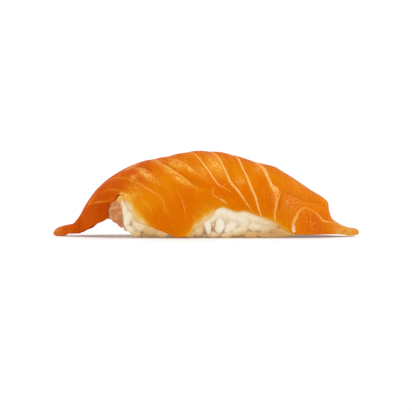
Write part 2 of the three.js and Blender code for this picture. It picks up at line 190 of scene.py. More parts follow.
# Each fat line: its course down the front as (place along X, height), its half widths and its strengths
# spread along that course, and how far it goes along X on its way down the back, or None.
FAT_LINES = [
    ([(-4.9, 25.2), (-3.5, 24.8), (-2.2, 23.7), (-0.6, 21.7), (1, 19.6), (2.3, 17.6), (3.9, 15.6),
      (5.5, 14.7), (7.5, 13.5), (8.8, 12.1)], (0.18, 0.26, 0.32, 0.28, 0.2, 0.12),
      (0.6, 0.8, 0.95, 0.85, 0.6, 0.1), -6),
    ([(5.1, 15.1), (6, 15.9), (6.7, 16.4)], (0.14, 0.16, 0.12), (0.5, 0.6, 0.3), None),
    ([(1.9, 25.1), (3, 24.4), (4.2, 23), (5.7, 19.9), (7.3, 16.5), (9.5, 13.8), (11.7, 10.7),
      (13.9, 7.4)], (0.22, 0.28, 0.3, 0.36, 0.34, 0.24, 0.16), (0.7, 1, 1, 1, 1, 0.85, 0.6), -5),
    ([(8.3, 24.1), (9.5, 23.5), (10.9, 20.5), (12.2, 17.9), (13.3, 15), (14.6, 12), (15.8, 7.8),
      (16.3, 6.5)], (0.3, 0.34, 0.3, 0.34, 0.36, 0.3, 0.24), (0.85, 1, 1, 1, 1, 0.95, 0.8), -4),
    ([(15.5, 21.8), (17.3, 20), (18.3, 17.8), (19.5, 15.2), (20.7, 13.8), (21, 12), (20.6, 9.5),
      (20.2, 6.9), (20.3, 5.2)], (0.9, 0.85, 0.66, 0.5, 0.55, 1.1, 0.7, 0.46, 0.36, 0.28),
      (0.55, 0.7, 0.85, 0.85, 0.75, 0.6, 0.6, 0.7, 0.75), -3),
    ([(25.9, 2.2), (25.7, 3.9), (26.8, 6.5), (27.9, 8.2), (29.5, 9), (31.5, 8.3), (33.5, 6.8), (35, 5.1),
      (37.1, 4.5), (39.6, 3.7), (42.4, 2.7)],
      (0.6, 0.56, 0.46, 0.36, 0.28, 0.26, 0.3, 0.28, 0.24, 0.2, 0.15),
      (0.95, 0.75, 0.7, 0.6, 0.5, 0.7, 0.9, 0.8, 0.5, 0.2), None),
    ([(25.3, 17.3), (26.7, 15.4), (27.9, 12.9)], (0.35, 0.5, 0.3), (0.1, 0.32, 0.1), -2),
    ([(33, 12.5), (35.1, 10.6), (36.3, 9.2)], (0.25, 0.32, 0.25), (0.3, 0.6, 0.3), None),
    ([(-14.6, 22.4), (-11.6, 20.9), (-8.8, 19.2), (-6, 17.2), (-3.8, 15.3), (-2.5, 14.2), (-2.4, 13.2),
      (-3, 12.5)], (0.16, 0.2, 0.22, 0.24, 0.22, 0.2, 0.16), (0.1, 0.3, 0.45, 0.6, 0.7, 0.6, 0.3), -8),
    ([(-10.9, 23.6), (-6.7, 22.1), (-3.5, 19.9), (-1.3, 18.1), (2.3, 16.1)], (0.14, 0.2, 0.2, 0.16),
      (0.2, 0.5, 0.55, 0.3), -8),
    ([(2.9, 15), (2, 14.1), (2.1, 12.9), (3.7, 11.8), (5.5, 10.7), (6.3, 9.8)],
      (0.14, 0.17, 0.2, 0.2, 0.24, 0.18), (0.6, 0.6, 0.65, 0.7, 0.85, 0.5), None),
    ([(-9.8, 14.1), (-8.6, 13.8), (-7.5, 12.5), (-6.6, 10.3), (-6, 8), (-5.7, 6.5)],
      (0.14, 0.16, 0.2, 0.24, 0.3, 0.2), (0.1, 0.3, 0.35, 0.4, 0.35, 0.1), None),
    ([(-30, 15.9), (-28.1, 17.1), (-25.3, 17.6), (-22.2, 17), (-19.2, 15.8), (-16.8, 14.4), (-13.6, 12.3),
      (-12.2, 10.7), (-11.8, 8.7), (-10.7, 6.7)],
      (0.12, 0.2, 0.26, 0.2, 0.18, 0.24, 0.24, 0.22, 0.26, 0.18),
      (0.1, 0.35, 0.45, 0.35, 0.4, 0.55, 0.6, 0.5, 0.4, 0.1), -9),
    ([(-3.9, 7.2), (-2.7, 4.8)], (0.16, 0.24, 0.14), (0.2, 0.4, 0.2), None),
    ([(-20, 11.5), (-18.6, 11.2), (-17.1, 10.2), (-15.9, 8.4), (-15.8, 7.3)], (0.16, 0.3, 0.2),
      (0.15, 0.3, 0.15), None),
    ([(-31, 13.2), (-27.9, 14.1), (-24.9, 13.9), (-22.3, 13.3)], (0.12, 0.18, 0.12), (0.15, 0.4, 0.15),
      -8),
    ([(0.5, 9.6), (1.2, 8.3)], (0.14, 0.26, 0.14), (0.3, 0.5, 0.2), None),
    # The next two lie along the upper rim of the tail: painted highlight, drawn as pale seams.
    ([(-35.6, 8.2), (-33.8, 10.7), (-32, 13.1)], (0.14, 0.22, 0.14), (0.3, 0.55, 0.3), None),
    ([(-38.3, 4.2), (-36.6, 5.4), (-34.9, 6.5)], (0.14, 0.2, 0.12), (0.1, 0.4, 0.1), None),
    ([(-34.6, 9.5), (-33, 10.2), (-31.2, 10.5), (-29, 10.7), (-27, 11.5)], (0.12, 0.16, 0.12),
      (0.4, 0.55, 0.2), None),
]
# Each crease: its course down the front, its half width and depth, and its run along X down the back.
CREASES = [
    ([(-14.3, 22.9), (-11.4, 21.5), (-8.5, 19.9), (-5.7, 17.9), (-3.5, 16.1), (-2, 14.9)], 0.24, 0.22,
      -8),
    ([(-25, 19.6), (-21.6, 20.9), (-18.6, 20.8), (-14.9, 19.3)], 0.26, 0.24, None),
    ([(-10.7, 24), (-6.5, 22.5), (-3.3, 20.3), (-1.1, 18.5)], 0.2, 0.16, -8),
    ([(22.3, 13.1), (24.2, 13.1), (27.8, 11.8), (30.5, 11.1), (35, 10.2)], 0.4, 0.13, None),
    ([(22.6, 13.3), (22.1, 11.7), (21.6, 9.8), (21.4, 7.9)], 0.26, 0.22, None),
    ([(-35.2, 7.5), (-33.3, 10), (-31.7, 12.3), (-29.6, 14.2)], 0.22, 0.18, None),
    ([(-4.6, 24.9), (-3.2, 24.4), (-1.9, 23.2), (-0.2, 21)], 0.16, 0.14, -6),
    ([(-9.4, 13), (-7.9, 11.6), (-7.1, 9.4), (-6.5, 7.4)], 0.24, 0.08, None),
]
# The course of every flake's border, as (where it leaves the ridge, how far right it is by the front
# edge): the fibres run along it. On the back it leans the other way.
FLAKE_BORDERS = [
    (-41.5, 0), (-38, 3), (-35.4, 8), (-32.9, 14), (-30, 18.5), (-25.4, 20), (-20.3, 20.5), (-15.6, 20.5),
    (-10.8, 20), (-5, 18.2), (2, 12.6), (8.6, 8.4), (15.7, 5.4), (22.4, 3), (29, 1), (35, 0), (40.5, 0),
]
SEAM_BEND = 1.6  # how late a border leaves the ridge
BACK_LEAN = -0.4  # how far a border leans on the back, as a share of its reach in front
RIDGE_LEAN = 8  # how far left a line would run if it rose by a path of 1 to the ridge
COURSE_POINTS, CREST_POINTS, BACK_POINTS = 160, 12, 120
BACK_DOWN = 0.97  # how far down the back a line runs, as a share of the way
STRAY, STRAY_TURNS = 0.5, 9  # how far a line strays sideways on the back, and how often


def spread(values, share):
    """Reads a short row of values, spread evenly from share 0 to 1."""
    return np.interp(share, np.linspace(0, 1, len(values)), values)


def smooth_course(points):
    """Points spread evenly along a smooth line through these."""
    points = np.array(points, float)
    reach = np.append(0, np.cumsum(np.linalg.norm(np.diff(points, axis=0), axis=1)))
    at = np.linspace(0, reach[-1], COURSE_POINTS)
    return np.stack([curve_through(list(zip(reach, column)))(at) for column in points.T], axis=-1)


def course_on_skin(front_course, back_run):
    """A line as points on the slice's outside, down the front and, if it runs there, down the back."""
    x, height = smooth_course(front_course).T
    path = path_at(x, np.minimum(height, ridge_height(x)))
    if back_run is None:
        return [outside_point(x, FRONT, path)]
    top_x = x[0] - RIDGE_LEAN * path[0]
    x = np.append(np.linspace(top_x, x[0], CREST_POINTS)[:-1], x)
    path = np.append(np.linspace(0, path[0], CREST_POINTS)[:-1], path)
    share = np.linspace(0, BACK_DOWN, BACK_POINTS)
    stray = STRAY * (np.sin(share * STRAY_TURNS + top_x) - np.sin(top_x))
    back_x = top_x + back_run * share**SEAM_BEND + stray
    back_path = share * path_at(back_x, back_edge(back_x))
    return [outside_point(x, FRONT, path), outside_point(back_x, BACK, back_path)]


FAR = 99.0  # stands for a distance out of reach


def distance_to(points, course):
    """Each near point's distance to the course and how far along the course that is, with which points."""
    reach = 6
    low, high = course[:, 0].min() - reach, course[:, 0].max() + reach
    near = np.flatnonzero((points[:, 0] > low) & (points[:, 0] < high))
    gaps = np.full(len(near), FAR)
    places = np.zeros(len(near))
    for i, spot in enumerate(course):
        gap = np.linalg.norm(points[near] - spot, axis=1)
        places = np.where(gap < gaps, i, places)
        gaps = np.minimum(gap, gaps)
    return near, gaps, places / (len(course) - 1)


# Rings along the slice, and steps of a ring down its back, down its front and to the middle underneath.
STATIONS, BACK_STEPS, FRONT_STEPS, INNER_STEPS = 400, 74, 118, 14
TIP_CROWDING = 0.15  # how much closer the rings lie at the tips


def slice_grid():
    """Rings of the slice's skin, from the back edge over the top to the front edge and back underneath."""
    u = np.linspace(-1, 1, STATIONS + 2)[1:-1, None]
    x = TIP * ((1 + TIP_CROWDING) * u - TIP_CROWDING * u**3)
    v_over = np.append(np.linspace(-1, 0, BACK_STEPS + 1), np.linspace(0, 1, FRONT_STEPS + 1)[1:])[None]
    v_under = np.sin(np.linspace(1, -1, 2 * INNER_STEPS + 3)[1:-1] * math.pi / 2)[None]
    v = np.concatenate([v_over, v_under], axis=1)
    inner = np.concatenate([np.zeros_like(v_over), np.ones_like(v_under)], axis=1) > 0
    x, v, inner = np.broadcast_arrays(x, v, inner)
    side = np.where(v > 0, FRONT, BACK)
    path = np.abs(v) * path_at(x, edge_height(x, side))
    return x, v, inner, side, path


x, v, inner, side, path = slice_grid()
skin = outside_point(x, side, path)
normal = outwards(x, side, path)
q = np.abs(v)
flat_skin = skin.reshape(-1, 3)
outer = ~inner.ravel()
NO_LINE = 9.0  # stands for the distance where no line is near
FAT_WIDTH = 0.95  # the share of its listed width that a fat line takes
FADE_DOWN_BACK = 0.4
LINE_END = 0.15  # the share of a line over which its end fades
FAINT_SEAM_OFF = 2  # how much further off a line counts as a seam, the fainter it is
seam_gap = np.full(len(flat_skin), NO_LINE)  # to the nearest seam or crease
fat_off = np.full(len(flat_skin), NO_LINE)  # to the border of the nearest fat line
fat_ink, fat_half, crease = (np.zeros(len(flat_skin)) for _ in range(3))
for front_course, half_lines, inks, back_run in FAT_LINES:
    for course in course_on_skin(front_course, back_run):
        on_back = course[-1, 1] > 0
        near, gap, along = distance_to(flat_skin, course)
        half = spread(half_lines, along) * FAT_WIDTH
        off = gap - half
        ink = spread(inks, along)
        if on_back:
            stronger = spread(inks, 0.3 + 0.7 * along) * smoothstep(0, LINE_END, along)
            ink = np.maximum(ink, stronger) * (1 - FADE_DOWN_BACK * along)
        nearer = (off < fat_off[near]) & outer[near]
        fat_ink[near] = np.where(nearer, ink, fat_ink[near])
        fat_half[near] = np.where(nearer, half, fat_half[near])
        fat_off[near] = np.where(nearer, off, fat_off[near])
        seam_gap[near] = np.minimum(seam_gap[near], gap + FAINT_SEAM_OFF * (1 - ink))
sunk = np.zeros(len(flat_skin))
for front_course, half_crease, depth, back_run in CREASES:
    for course in course_on_skin(front_course, back_run):
        near, gap, along = distance_to(flat_skin, course)
        ends = smoothstep(0, LINE_END, along) * smoothstep(1, 1 - LINE_END, along)
        profile = np.exp(-((gap / half_crease) ** 2)) * ends
        sunk[near] = np.maximum(sunk[near], depth * profile * outer[near])
        crease[near] = np.maximum(crease[near], profile * outer[near] * min(1, depth * 4))
        seam_gap[near] = np.minimum(seam_gap[near], gap)

# A flake swells between its seams, less so on the ridge and towards the edges and tips.
FLAKE_CROWN, FLAKE_RISE = 0.3, 2.8  # how far, and over how far from a seam
RIDGE_FLATTER, RIDGE_FLAT_REACH = 0.5, 0.25  # the share lost on the ridge, and the path over which
swell = FLAKE_CROWN * smoothstep(0, FLAKE_RISE, seam_gap).reshape(x.shape) * (1 - smoothstep(0.75, 1, q))
swell = (swell - sunk.reshape(x.shape)) * smoothstep(1, 8, TIP - np.abs(x))
swell = swell * (1 - RIDGE_FLATTER * np.exp(-((path / RIDGE_FLAT_REACH) ** 2)))
# The fold near the right end, below which the slice's front is set back.
SHOULDER_LINE = [(21, 14.2), (30, 12), (38, 8.6)]
SHOULDER_STEP, SHOULDER_WIDTH = 0.55, 0.05  # in millimetres, and in path to each side
present = smoothstep(21, 27, x) * smoothstep(38, 35, x) * (side == FRONT)
fold = path_at(x, np.minimum(curve_through(SHOULDER_LINE)(x), ridge_height(x)))
swell = swell - present * SHOULDER_STEP * smoothstep(fold - SHOULDER_WIDTH, fold + SHOULDER_WIDTH, path)
over = skin + normal * swell[..., None]
under = skin + depth_vector(x, side, path, q)
under[..., 2] = np.maximum(under[..., 2], off_table(x))
grid = np.where(inner[..., None], under, over)


def closed_skin(name, grid, start, end):
    """A closed mesh over rings of points, in metres, with one point closing each end."""
    rings, around = grid.shape[:2]
    points = np.concatenate([grid.reshape(-1, 3), [start, end]]) * MM
    i, j = np.meshgrid(np.arange(rings - 1), np.arange(around), indexing="ij")
    a, b = i * around + j, i * around + (j + 1) % around
    faces = np.stack([a, b, b + around, a + around], axis=-1).reshape(-1, 4).tolist()
    turn = list(range(around))
    head, tail = rings * around, rings * around + 1
    faces += [[head, (k + 1) % around, k] for k in turn]
    last = (rings - 1) * around
    faces += [[tail, last + k, last + (k + 1) % around] for k in turn]
    mesh = bpy.data.meshes.new(name)
    mesh.from_pydata(points.tolist(), [], faces)
    mesh.update()
    work = bmesh.new()
    work.from_mesh(mesh)
    bmesh.ops.recalc_face_normals(work, faces=work.faces)
    work.to_mesh(mesh)
    work.free()
    mesh.shade_smooth()
    return mesh


def store(mesh, name, values):
    """Keeps a number, or three, for each point of the mesh, for its material to read."""
    values = np.asarray(values, np.float32)
    kind, key = ("FLOAT_VECTOR", "vector") if values.ndim > 1 else ("FLOAT", "value")
    short = len(mesh.vertices) - len(values)
    values = np.concatenate([values, values[[0] * short]]) if short else values
    mesh.attributes.new(name, kind, "POINT").data.foreach_set(key, values.ravel())


left_tip, right_tip = ((end, sway(end), ridge_height(end)) for end in (-TIP, TIP))
slice_mesh = closed_skin("salmon_slice", grid, left_tip, right_tip)
RIDGE_REACH = 0.3  # the path over which the redder band on the ridge fades
store(slice_mesh, "fat_off", fat_off)
store(slice_mesh, "fat_ink", fat_ink)
store(slice_mesh, "fat_half", fat_half)
store(slice_mesh, "crease", crease)
# How far in from its edges a point of the underside lies, for the painted shade there.
store(slice_mesh, "inner", (inner * smoothstep(0.93, 0.7, q)).ravel())
# Where the ridge's band of painted shade lies, fading out towards the right end.
store(slice_mesh, "ridge", (np.exp(-((path / RIDGE_REACH) ** 2)) * smoothstep(37, 33, x)).ravel())

# The fibres: which flake border a point would lie on, and how far down it is, both in millimetres. In
# the tail they run lengthways instead, and on the back they are kept apart from the front's.
HALVINGS = 16
PATH_LENGTH, SIDE_APART = 18, 40
low_x, high_x = np.full(x.shape, -TIP - 20), np.full(x.shape, TIP + 20)
lean = np.where(side == FRONT, 1, BACK_LEAN) * q**SEAM_BEND
border_reach = curve_through([(-TIP, 0), *FLAKE_BORDERS, (TIP, 0)])
for _ in range(HALVINGS):
    middle = (low_x + high_x) / 2
    left_of = middle + lean * border_reach(middle) < x
    low_x, high_x = np.where(left_of, middle, low_x), np.where(left_of, high_x, middle)
in_tail = smoothstep(-25, -32, x)
across_fibre = low_x * (1 - in_tail) + (ridge_height(x) - grid[..., 2]) * in_tail
along_fibre = path * PATH_LENGTH * (1 - in_tail) + x * in_tail
store(slice_mesh, "fibre", np.stack([across_fibre, along_fibre, side * SIDE_APART], axis=-1).reshape(-1, 3))

# How far from a long edge a point is, over the width to which the flesh is thin enough to see through.
OVER = BACK_STEPS + FRONT_STEPS + 1  # how many of a ring's points are on the outside
UNDER_WIDTH = 20
step_lengths = np.linalg.norm(np.diff(skin[:, :OVER], axis=1), axis=-1)
from_back = np.concatenate([np.zeros((len(x), 1)), np.cumsum(step_lengths, axis=1)], axis=1)
edge_off = np.full(x.shape, FAR)
edge_off[:, :OVER] = np.minimum(from_back, from_back[:, -1:] - from_back)
edge_off[:, OVER:] = (1 - q[:, OVER:]) * UNDER_WIDTH
SEE_THROUGH = {
    FRONT: [(-25, 0.1), (-24, 1.2), (-23, 2.6), (-21.6, 4.2), (-20.2, 4.2), (-18.6, 2.6), (-16.5, 1.3),
        (-15, 0.9), (-12, 0.3), (-7, 0.3), (-5, 1.6), (-1, 2.6), (1.8, 2), (3.4, 0.9), (5, 0.5), (9, 0.5),
        (15, 0.35), (18, 0.9), (21, 1.4), (24, 1.3), (26.4, 0.5), (30, 0.1)],
    BACK: [(-27, 0.1), (-22, 2.2), (-16, 0.5), (-6, 1.8), (2, 0.3), (14, 1.2), (19, 0.4), (24, 1.6),
        (28, 0.1)],
}
RIM_WIDTH, RIM_SHARE = 0.4, 0.85  # of the raised edge over the rice
see_reach_front, see_reach_back = (curve_through(SEE_THROUGH[face])(x) for face in (FRONT, BACK))
see_reach = np.where(side == FRONT, see_reach_front, see_reach_back)
see_share = np.exp(-((edge_off / see_reach) ** 2)) * smoothstep(0.1, 2.4, see_reach)
rim = np.exp(-((edge_off / RIM_WIDTH) ** 2)) * smoothstep(2, 5, x) * smoothstep(22, 18, x)
see_share = np.maximum(see_share, rim * RIM_SHARE)
store(slice_mesh, "see_through", see_share.ravel())

# Where each tone of the flesh lies, as soft spots: place along X, height, reach along X and in height,
# slope and strength.
TONE_SPOTS = {
    "gold": [(-20.6, 13.2, 3.6, 3.4, -0.4, 0.9), (-5, 20.5, 3, 2.5, -0.5, 0.5),
        (13, 21.5, 4, 2.4, -0.4, 0.5), (20, 18.6, 4, 2.4, -0.5, 0.5), (-4.2, 2.6, 2.6, 2.6, 0.6, 0.9),
        (-18.3, 9.6, 3.2, 3.2, -0.3, 1.1), (4.5, 10.2, 3.4, 1.4, 0, 0.6), (-15, 12, 4.5, 3.6, -0.3, 0.4),
        (-11, 16, 4.5, 3, -0.6, 0.4), (3.6, 19.4, 5, 3, -0.5, 0.8), (9.4, 19.5, 2.4, 4.5, -1.2, 0.8),
        (-20.6, 8.4, 3.4, 4.6, 0, 1.2), (-1.8, 5.4, 2.8, 3.4, 0.6, 0.8), (13, 17, 1.6, 3, -1, 0.5),
        (24, 18, 4, 2, -0.6, 0.5)],
    "deep": [(7, 14, 6.2, 3, -0.3, 1.1), (-12, 3.4, 5.5, 4, -0.2, 0.6), (-6, 11, 2.6, 5, -0.6, 0.7),
        (18, 11, 2, 4, 0, 0.6), (32, 4.4, 4, 3.4, 0, 1.4), (-2, 17, 3, 2, -0.6, 0.5),
        (-9, 7, 4, 3, -0.4, 0.5)],
    "strand": [(26.4, 2.2, 0.9, 1.2, 0, 1)],
    # Painted shade on the tail's cut face, darkest next to the rice.
    "tail_shade": [(-30, 7.6, 3.2, 3.2, 0.3, 1.5), (-34, 4.5, 3.4, 2.2, 1, 0.5)],
    "hatch": [(25.6, 10.4, 2.6, 2.4, -0.2, 1), (32, 4.4, 3.6, 2.6, -0.2, 0.35),
        (42, 2.2, 3.4, 1.2, 0, 0.7), (20.6, 12.6, 1.6, 1.8, 0, 1)],
    # The wet patches are glossier, and highlights and a golden sheen are painted into their colour.
    "wet_and_glint": [(-17.4, 18.4, 2.6, 1.2, -0.6, 0.9), (-20.9, 17.6, 1.2, 0.9, 0.3, 0.55),
        (-10.3, 19.7, 3, 1, -0.6, 0.8), (-7, 17, 2.4, 0.9, -0.5, 0.9), (-8.4, 21.6, 2.2, 1.2, -0.2, 0.7),
        (-4.7, 20.3, 1.5, 0.8, -0.6, 1), (-0.9, 19.4, 1.8, 1.3, -0.6, 0.45),
        (2.9, 21.2, 2.1, 2, -0.5, 0.9), (10.1, 16.7, 1.5, 1.1, 0, 0.5),
        (-22.6, 12.2, 1.3, 0.7, -0.2, 1.8), (-24.4, 13, 0.8, 0.5, 0, 1.5), (-20.9, 12.6, 1, 0.6, 0.2, 1),
        (-20.3, 14.5, 2, 1.6, 0, 0.35), (-14, 22.2, 2, 0.8, -0.3, 0.5),
        (-21.8, 20.8, 2.4, 0.6, 0.5, 0.45), (15.5, 19.8, 1.2, 1.6, 0, 0.3)],
}
BACK_SHIFT = 6  # on the back, each spot lies this far left of where it lies in front
for name, spots in TONE_SPOTS.items():
    strength = np.zeros(len(flat_skin))
    place_x = flat_skin[:, 0] + BACK_SHIFT * (flat_skin[:, 1] > 0) * smoothstep(0, 4, flat_skin[:, 1])
    for spot_x, spot_z, reach_x, reach_z, slope, amount in spots:
        dx = place_x - spot_x
        dz = flat_skin[:, 2] - spot_z - slope * dx
        strength = np.maximum(strength, amount * np.exp(-((dx / reach_x) ** 2) - (dz / reach_z) ** 2))
    store(slice_mesh, name, strength)


# ---------------------------------------------------------------- the slice: its flesh
# Raw salmon is orange, soft and a little see-through, with a moist gloss that breaks up over the cut
# fibres. It is redder towards the left end, golden where it lies over the white rice, and paler where it
# thins out at an edge. The seams are pale and fatty. Painted into its colour are highlights and sheen on
# its wet patches, and shade in its creases, on the tail's cut face, underneath and along the ridge.


class Wire:
    """A number's socket in a shader. Sums written with it add Math nodes to its tree."""

    def __init__(self, tree, socket):
        self.tree, self.socket = tree, socket

    def math(self, operation, *values, clamp=False):
        settings = {"operation": operation, "use_clamp": clamp}
        node = add_node(self.tree, "ShaderNodeMath", settings, dict(enumerate(values)))
        return Wire(self.tree, node.outputs[0])

    def __add__(self, other):
        return self.math("ADD", self, other)

    def __sub__(self, other):
        return self.math("SUBTRACT", self, other)

    def __rsub__(self, other):
        return self.math("SUBTRACT", other, self)

    def __mul__(self, other):
        return self.math("MULTIPLY", self, other)

    def __truediv__(self, other):
        return self.math("DIVIDE", self, other)

    __radd__, __rmul__ = __add__, __mul__

    def step(self, low, high):
        """0 below low and 1 above high, with a smooth rise between. high may be the lower one."""
        t = self.math("MULTIPLY_ADD", self, 1 / (high - low), -low / (high - low), clamp=True)
        return t * t * (3 - 2 * t)

    def at_most(self, limit):
        return self.math("MINIMUM", self, limit)

    def at_least(self, limit):
        return self.math("MAXIMUM", self, limit)


def add_node(tree, kind, settings=None, inputs=None):
    """Adds a node: its settings are set first, then its sockets get values or links."""
    node = tree.nodes.new(kind)
    for name, value in (settings or {}).items():
        setattr(node, name, value)
    for key, value in (inputs or {}).items():
        socket = node.inputs[key]
        if isinstance(value, Wire):
            value = value.socket
        if isinstance(value, bpy.types.NodeSocket):
            tree.links.new(value, socket)
        else:
            socket.default_value = value
    return node


def new_material(name):
    material = bpy.data.materials.new(name)
    material.use_nodes = True
    material.node_tree.nodes.clear()
    return material, material.node_tree


def attribute(tree, name, output="Fac"):
    node = add_node(tree, "ShaderNodeAttribute", {"attribute_type": "GEOMETRY", "attribute_name": name})
    return Wire(tree, node.outputs[output])


def srgb(*shown):
    """A colour as seen on a screen, 0 to 255, as the shader's linear numbers."""
    parts = [part / 255 for part in shown]
    return (*(part / 12.92 if part <= 0.04045 else ((part + 0.055) / 1.055) ** 2.4 for part in parts), 1)


def layered(tree, colour, layers):
    """A colour with others laid over it in turn, each by its share."""
    settings = {"data_type": "RGBA", "clamp_factor": True}
    for share, over in layers:
        colour = add_node(tree, "ShaderNodeMix", settings, {0: share, 6: colour, 7: over}).outputs[2]
    return colour


def object_axes(tree):
    """A point's place on the object, and its X and Z in millimetres."""
    place = add_node(tree, "ShaderNodeTexCoord").outputs["Object"]
    axes = add_node(tree, "ShaderNodeSeparateXYZ", {}, {0: place}).outputs
    return place, Wire(tree, axes["X"]) * TO_MM, Wire(tree, axes["Z"]) * TO_MM


def noise(tree, vector, scale, detail=2, rough=0.5):
    inputs = {"Vector": vector, "Scale": scale, "Detail": detail, "Roughness": rough}
    return Wire(tree, add_node(tree, "ShaderNodeTexNoise", {}, inputs).outputs["Fac"])


def finish_surface(tree, inputs):
    """Ends a material's tree with its shader."""
    shader = add_node(tree, "ShaderNodeBsdfPrincipled", {"subsurface_method": "RANDOM_WALK"}, inputs)
    add_node(tree, "ShaderNodeOutputMaterial", {}, {"Surface": shader.outputs[0]})


FLESH = srgb(217, 112, 2)
FLESH_GOLD = srgb(228, 146, 14)
FLESH_DEEP = srgb(216, 96, 1)
FLESH_RED = srgb(192, 72, 8)
FLESH_RIDGE_SHADE = srgb(190, 76, 6)
FLESH_SHADE = srgb(168, 44, 0)
FLESH_PALE = srgb(228, 126, 18)
HATCH_PALE = srgb(238, 166, 92)
TIP_YELLOW = srgb(218, 170, 78)
OVER_RICE = srgb(230, 184, 92)
RICE_THROUGH = srgb(232, 212, 172)
FAT = srgb(248, 190, 112)
FAT_FAINT = srgb(250, 166, 66)
FAT_STRAND = srgb(246, 222, 194)
PAINTED_GLINT = srgb(252, 210, 96)
PAINTED_SHEEN = srgb(236, 158, 26)

flesh, tree = new_material("raw_salmon")
place, along, height = object_axes(tree)
fibre_place = attribute(tree, "fibre", "Vector").socket
FIBRE_STRETCH = (1, 0.16, 1)
stretched = {"Vector": fibre_place, "Scale": FIBRE_STRETCH}
along_fibres = add_node(tree, "ShaderNodeMapping", {}, stretched).outputs[0]

cloud = noise(tree, place, 130, 3)
patch = noise(tree, place, 420)
bead = noise(tree, place, 1000)
speck = noise(tree, place, 2600, 2, 0.6)
streak = noise(tree, along_fibres, 0.8, 3, 0.6)
fibre = noise(tree, along_fibres, 2.6, 3, 0.7)
uneven = (cloud - 0.5) * 1.2

# Broad tones: redder to the left and on the ridge, golden and deep orange in patches, paler to the right.
slant = along - height * 0.8 + uneven * 6
redness = slant.step(-25, -38)
gold = (attribute(tree, "gold") * (0.75 + uneven + (streak - 0.5) * 0.9)).at_most(1)
deep = attribute(tree, "deep") * (0.9 + uneven)
tail_shade = attribute(tree, "tail_shade") * (1 + uneven * 0.5)
paler = (along + uneven * 5).step(19, 29) * 0.85
ridge = attribute(tree, "ridge")
# The fibres and their specks.
in_body = 1 - (along + uneven * 3).step(-26, -31) * 0.75
streaks = (streak - 0.5).at_least(0) * 2.2 * in_body
fibre_gaps = (0.5 - fibre).at_least(0) * 2.6 * in_body
hatch = attribute(tree, "hatch")
# Both tips are yellower, and the flesh is palest where it is thin enough to show the rice.
right_tip = (along + uneven * 3 + (bead - 0.5) * 6).step(36, 43)
tips = right_tip * 0.85 + (along + patch * 6).step(-37, -43) * 0.4
thin = attribute(tree, "see_through") * (1 + uneven * 0.5 + (patch - 0.5) * 0.6)
to_right = along.step(8, 14)
# Wet patches: glossier, with painted highlights, a golden sheen and bright glints, in their colour.
wet_and_glint = attribute(tree, "wet_and_glint")
# The fat: grainy lines with a faint golden halo and a deeper hem.
wide = attribute(tree, "fat_half")
fat_off = attribute(tree, "fat_off") + (bead - 0.5) * (0.1 + wide * 1.6)
fat_off = fat_off + (speck - 0.5) * (0.15 + wide * 1.1)
fat_ink = attribute(tree, "fat_ink")
fat = fat_off.step(0.07, -0.16) * fat_ink
halo = fat_off.step(0.9, 0.1) * fat_ink * 0.25
hem = fat_off.step(0, 0.12) * fat_off.step(0.5, 0.2) * fat_ink
grainy = 0.84 + (bead - 0.5) * (1.2 + wide) + (speck - 0.5) * (1 + wide * 2.4)
fat_tone = layered(tree, FAT_FAINT, [(fat_ink.step(0.45, 0.9), FAT)])
crease = attribute(tree, "crease")
# Painted glints: bright specks in the wet patches.
painted_glint = wet_and_glint * (speck.step(0.47, 0.62) * bead.step(0.36, 0.56) + patch.step(0.4, 0.7) * 0.14 + 0.04)
underside_shade = attribute(tree, "inner") * (along * along).step(30**2, 25**2)

body = layered(tree, FLESH, [
    (paler, FLESH_PALE),
    (gold, FLESH_GOLD),
    (deep.at_most(1), FLESH_DEEP),
    (redness * (1 - gold * 0.7), FLESH_RED),
    # painted shade: a darker, redder band along the ridge
    (ridge * 0.75, FLESH_RIDGE_SHADE),
    # painted shade on the tail's cut face
    (tail_shade.at_most(0.97), FLESH_SHADE),
    (streaks, FLESH_GOLD),
    (fibre_gaps, FLESH_DEEP),
    ((speck - 0.5).at_least(0) * 1.6, FLESH_GOLD),
    ((0.5 - speck).at_least(0) * 1.4, FLESH_DEEP),
    (hatch * speck.step(0.48, 0.62) * 0.75, HATCH_PALE),
    (hatch * speck.step(0.5, 0.4) * 0.8, FLESH_DEEP),
    (tips * (0.35 + bead.step(0.4, 0.6) * 0.65), TIP_YELLOW),
    ((thin * 1.6).at_most(0.95), FLESH_GOLD),
    (thin.step(0.25, 0.95) * (0.85 - to_right * 0.45), OVER_RICE),
    (thin.step(0.72, 1.08) * (0.75 - to_right * 0.55), RICE_THROUGH),
    # painted sheen on the wet patches
    ((wet_and_glint * (0.24 + patch * 0.4)).at_most(0.5), PAINTED_SHEEN),
    (halo, FLESH_GOLD),
    (hem * 0.4, FLESH_DEEP),
    ((fat * grainy * 1.15).at_most(0.95), fat_tone),
    (fat * attribute(tree, "strand"), FAT_STRAND),
    # painted shade in the creases
    ((crease * crease * 0.75 * (1 - fat)).at_most(0.8), FLESH_SHADE),
    # painted glints on the wet patches
    (painted_glint.at_most(0.85), PAINTED_GLINT),
    # painted shade underneath, in the middle of the slice
    (underside_shade * 0.75, FLESH_SHADE),
])

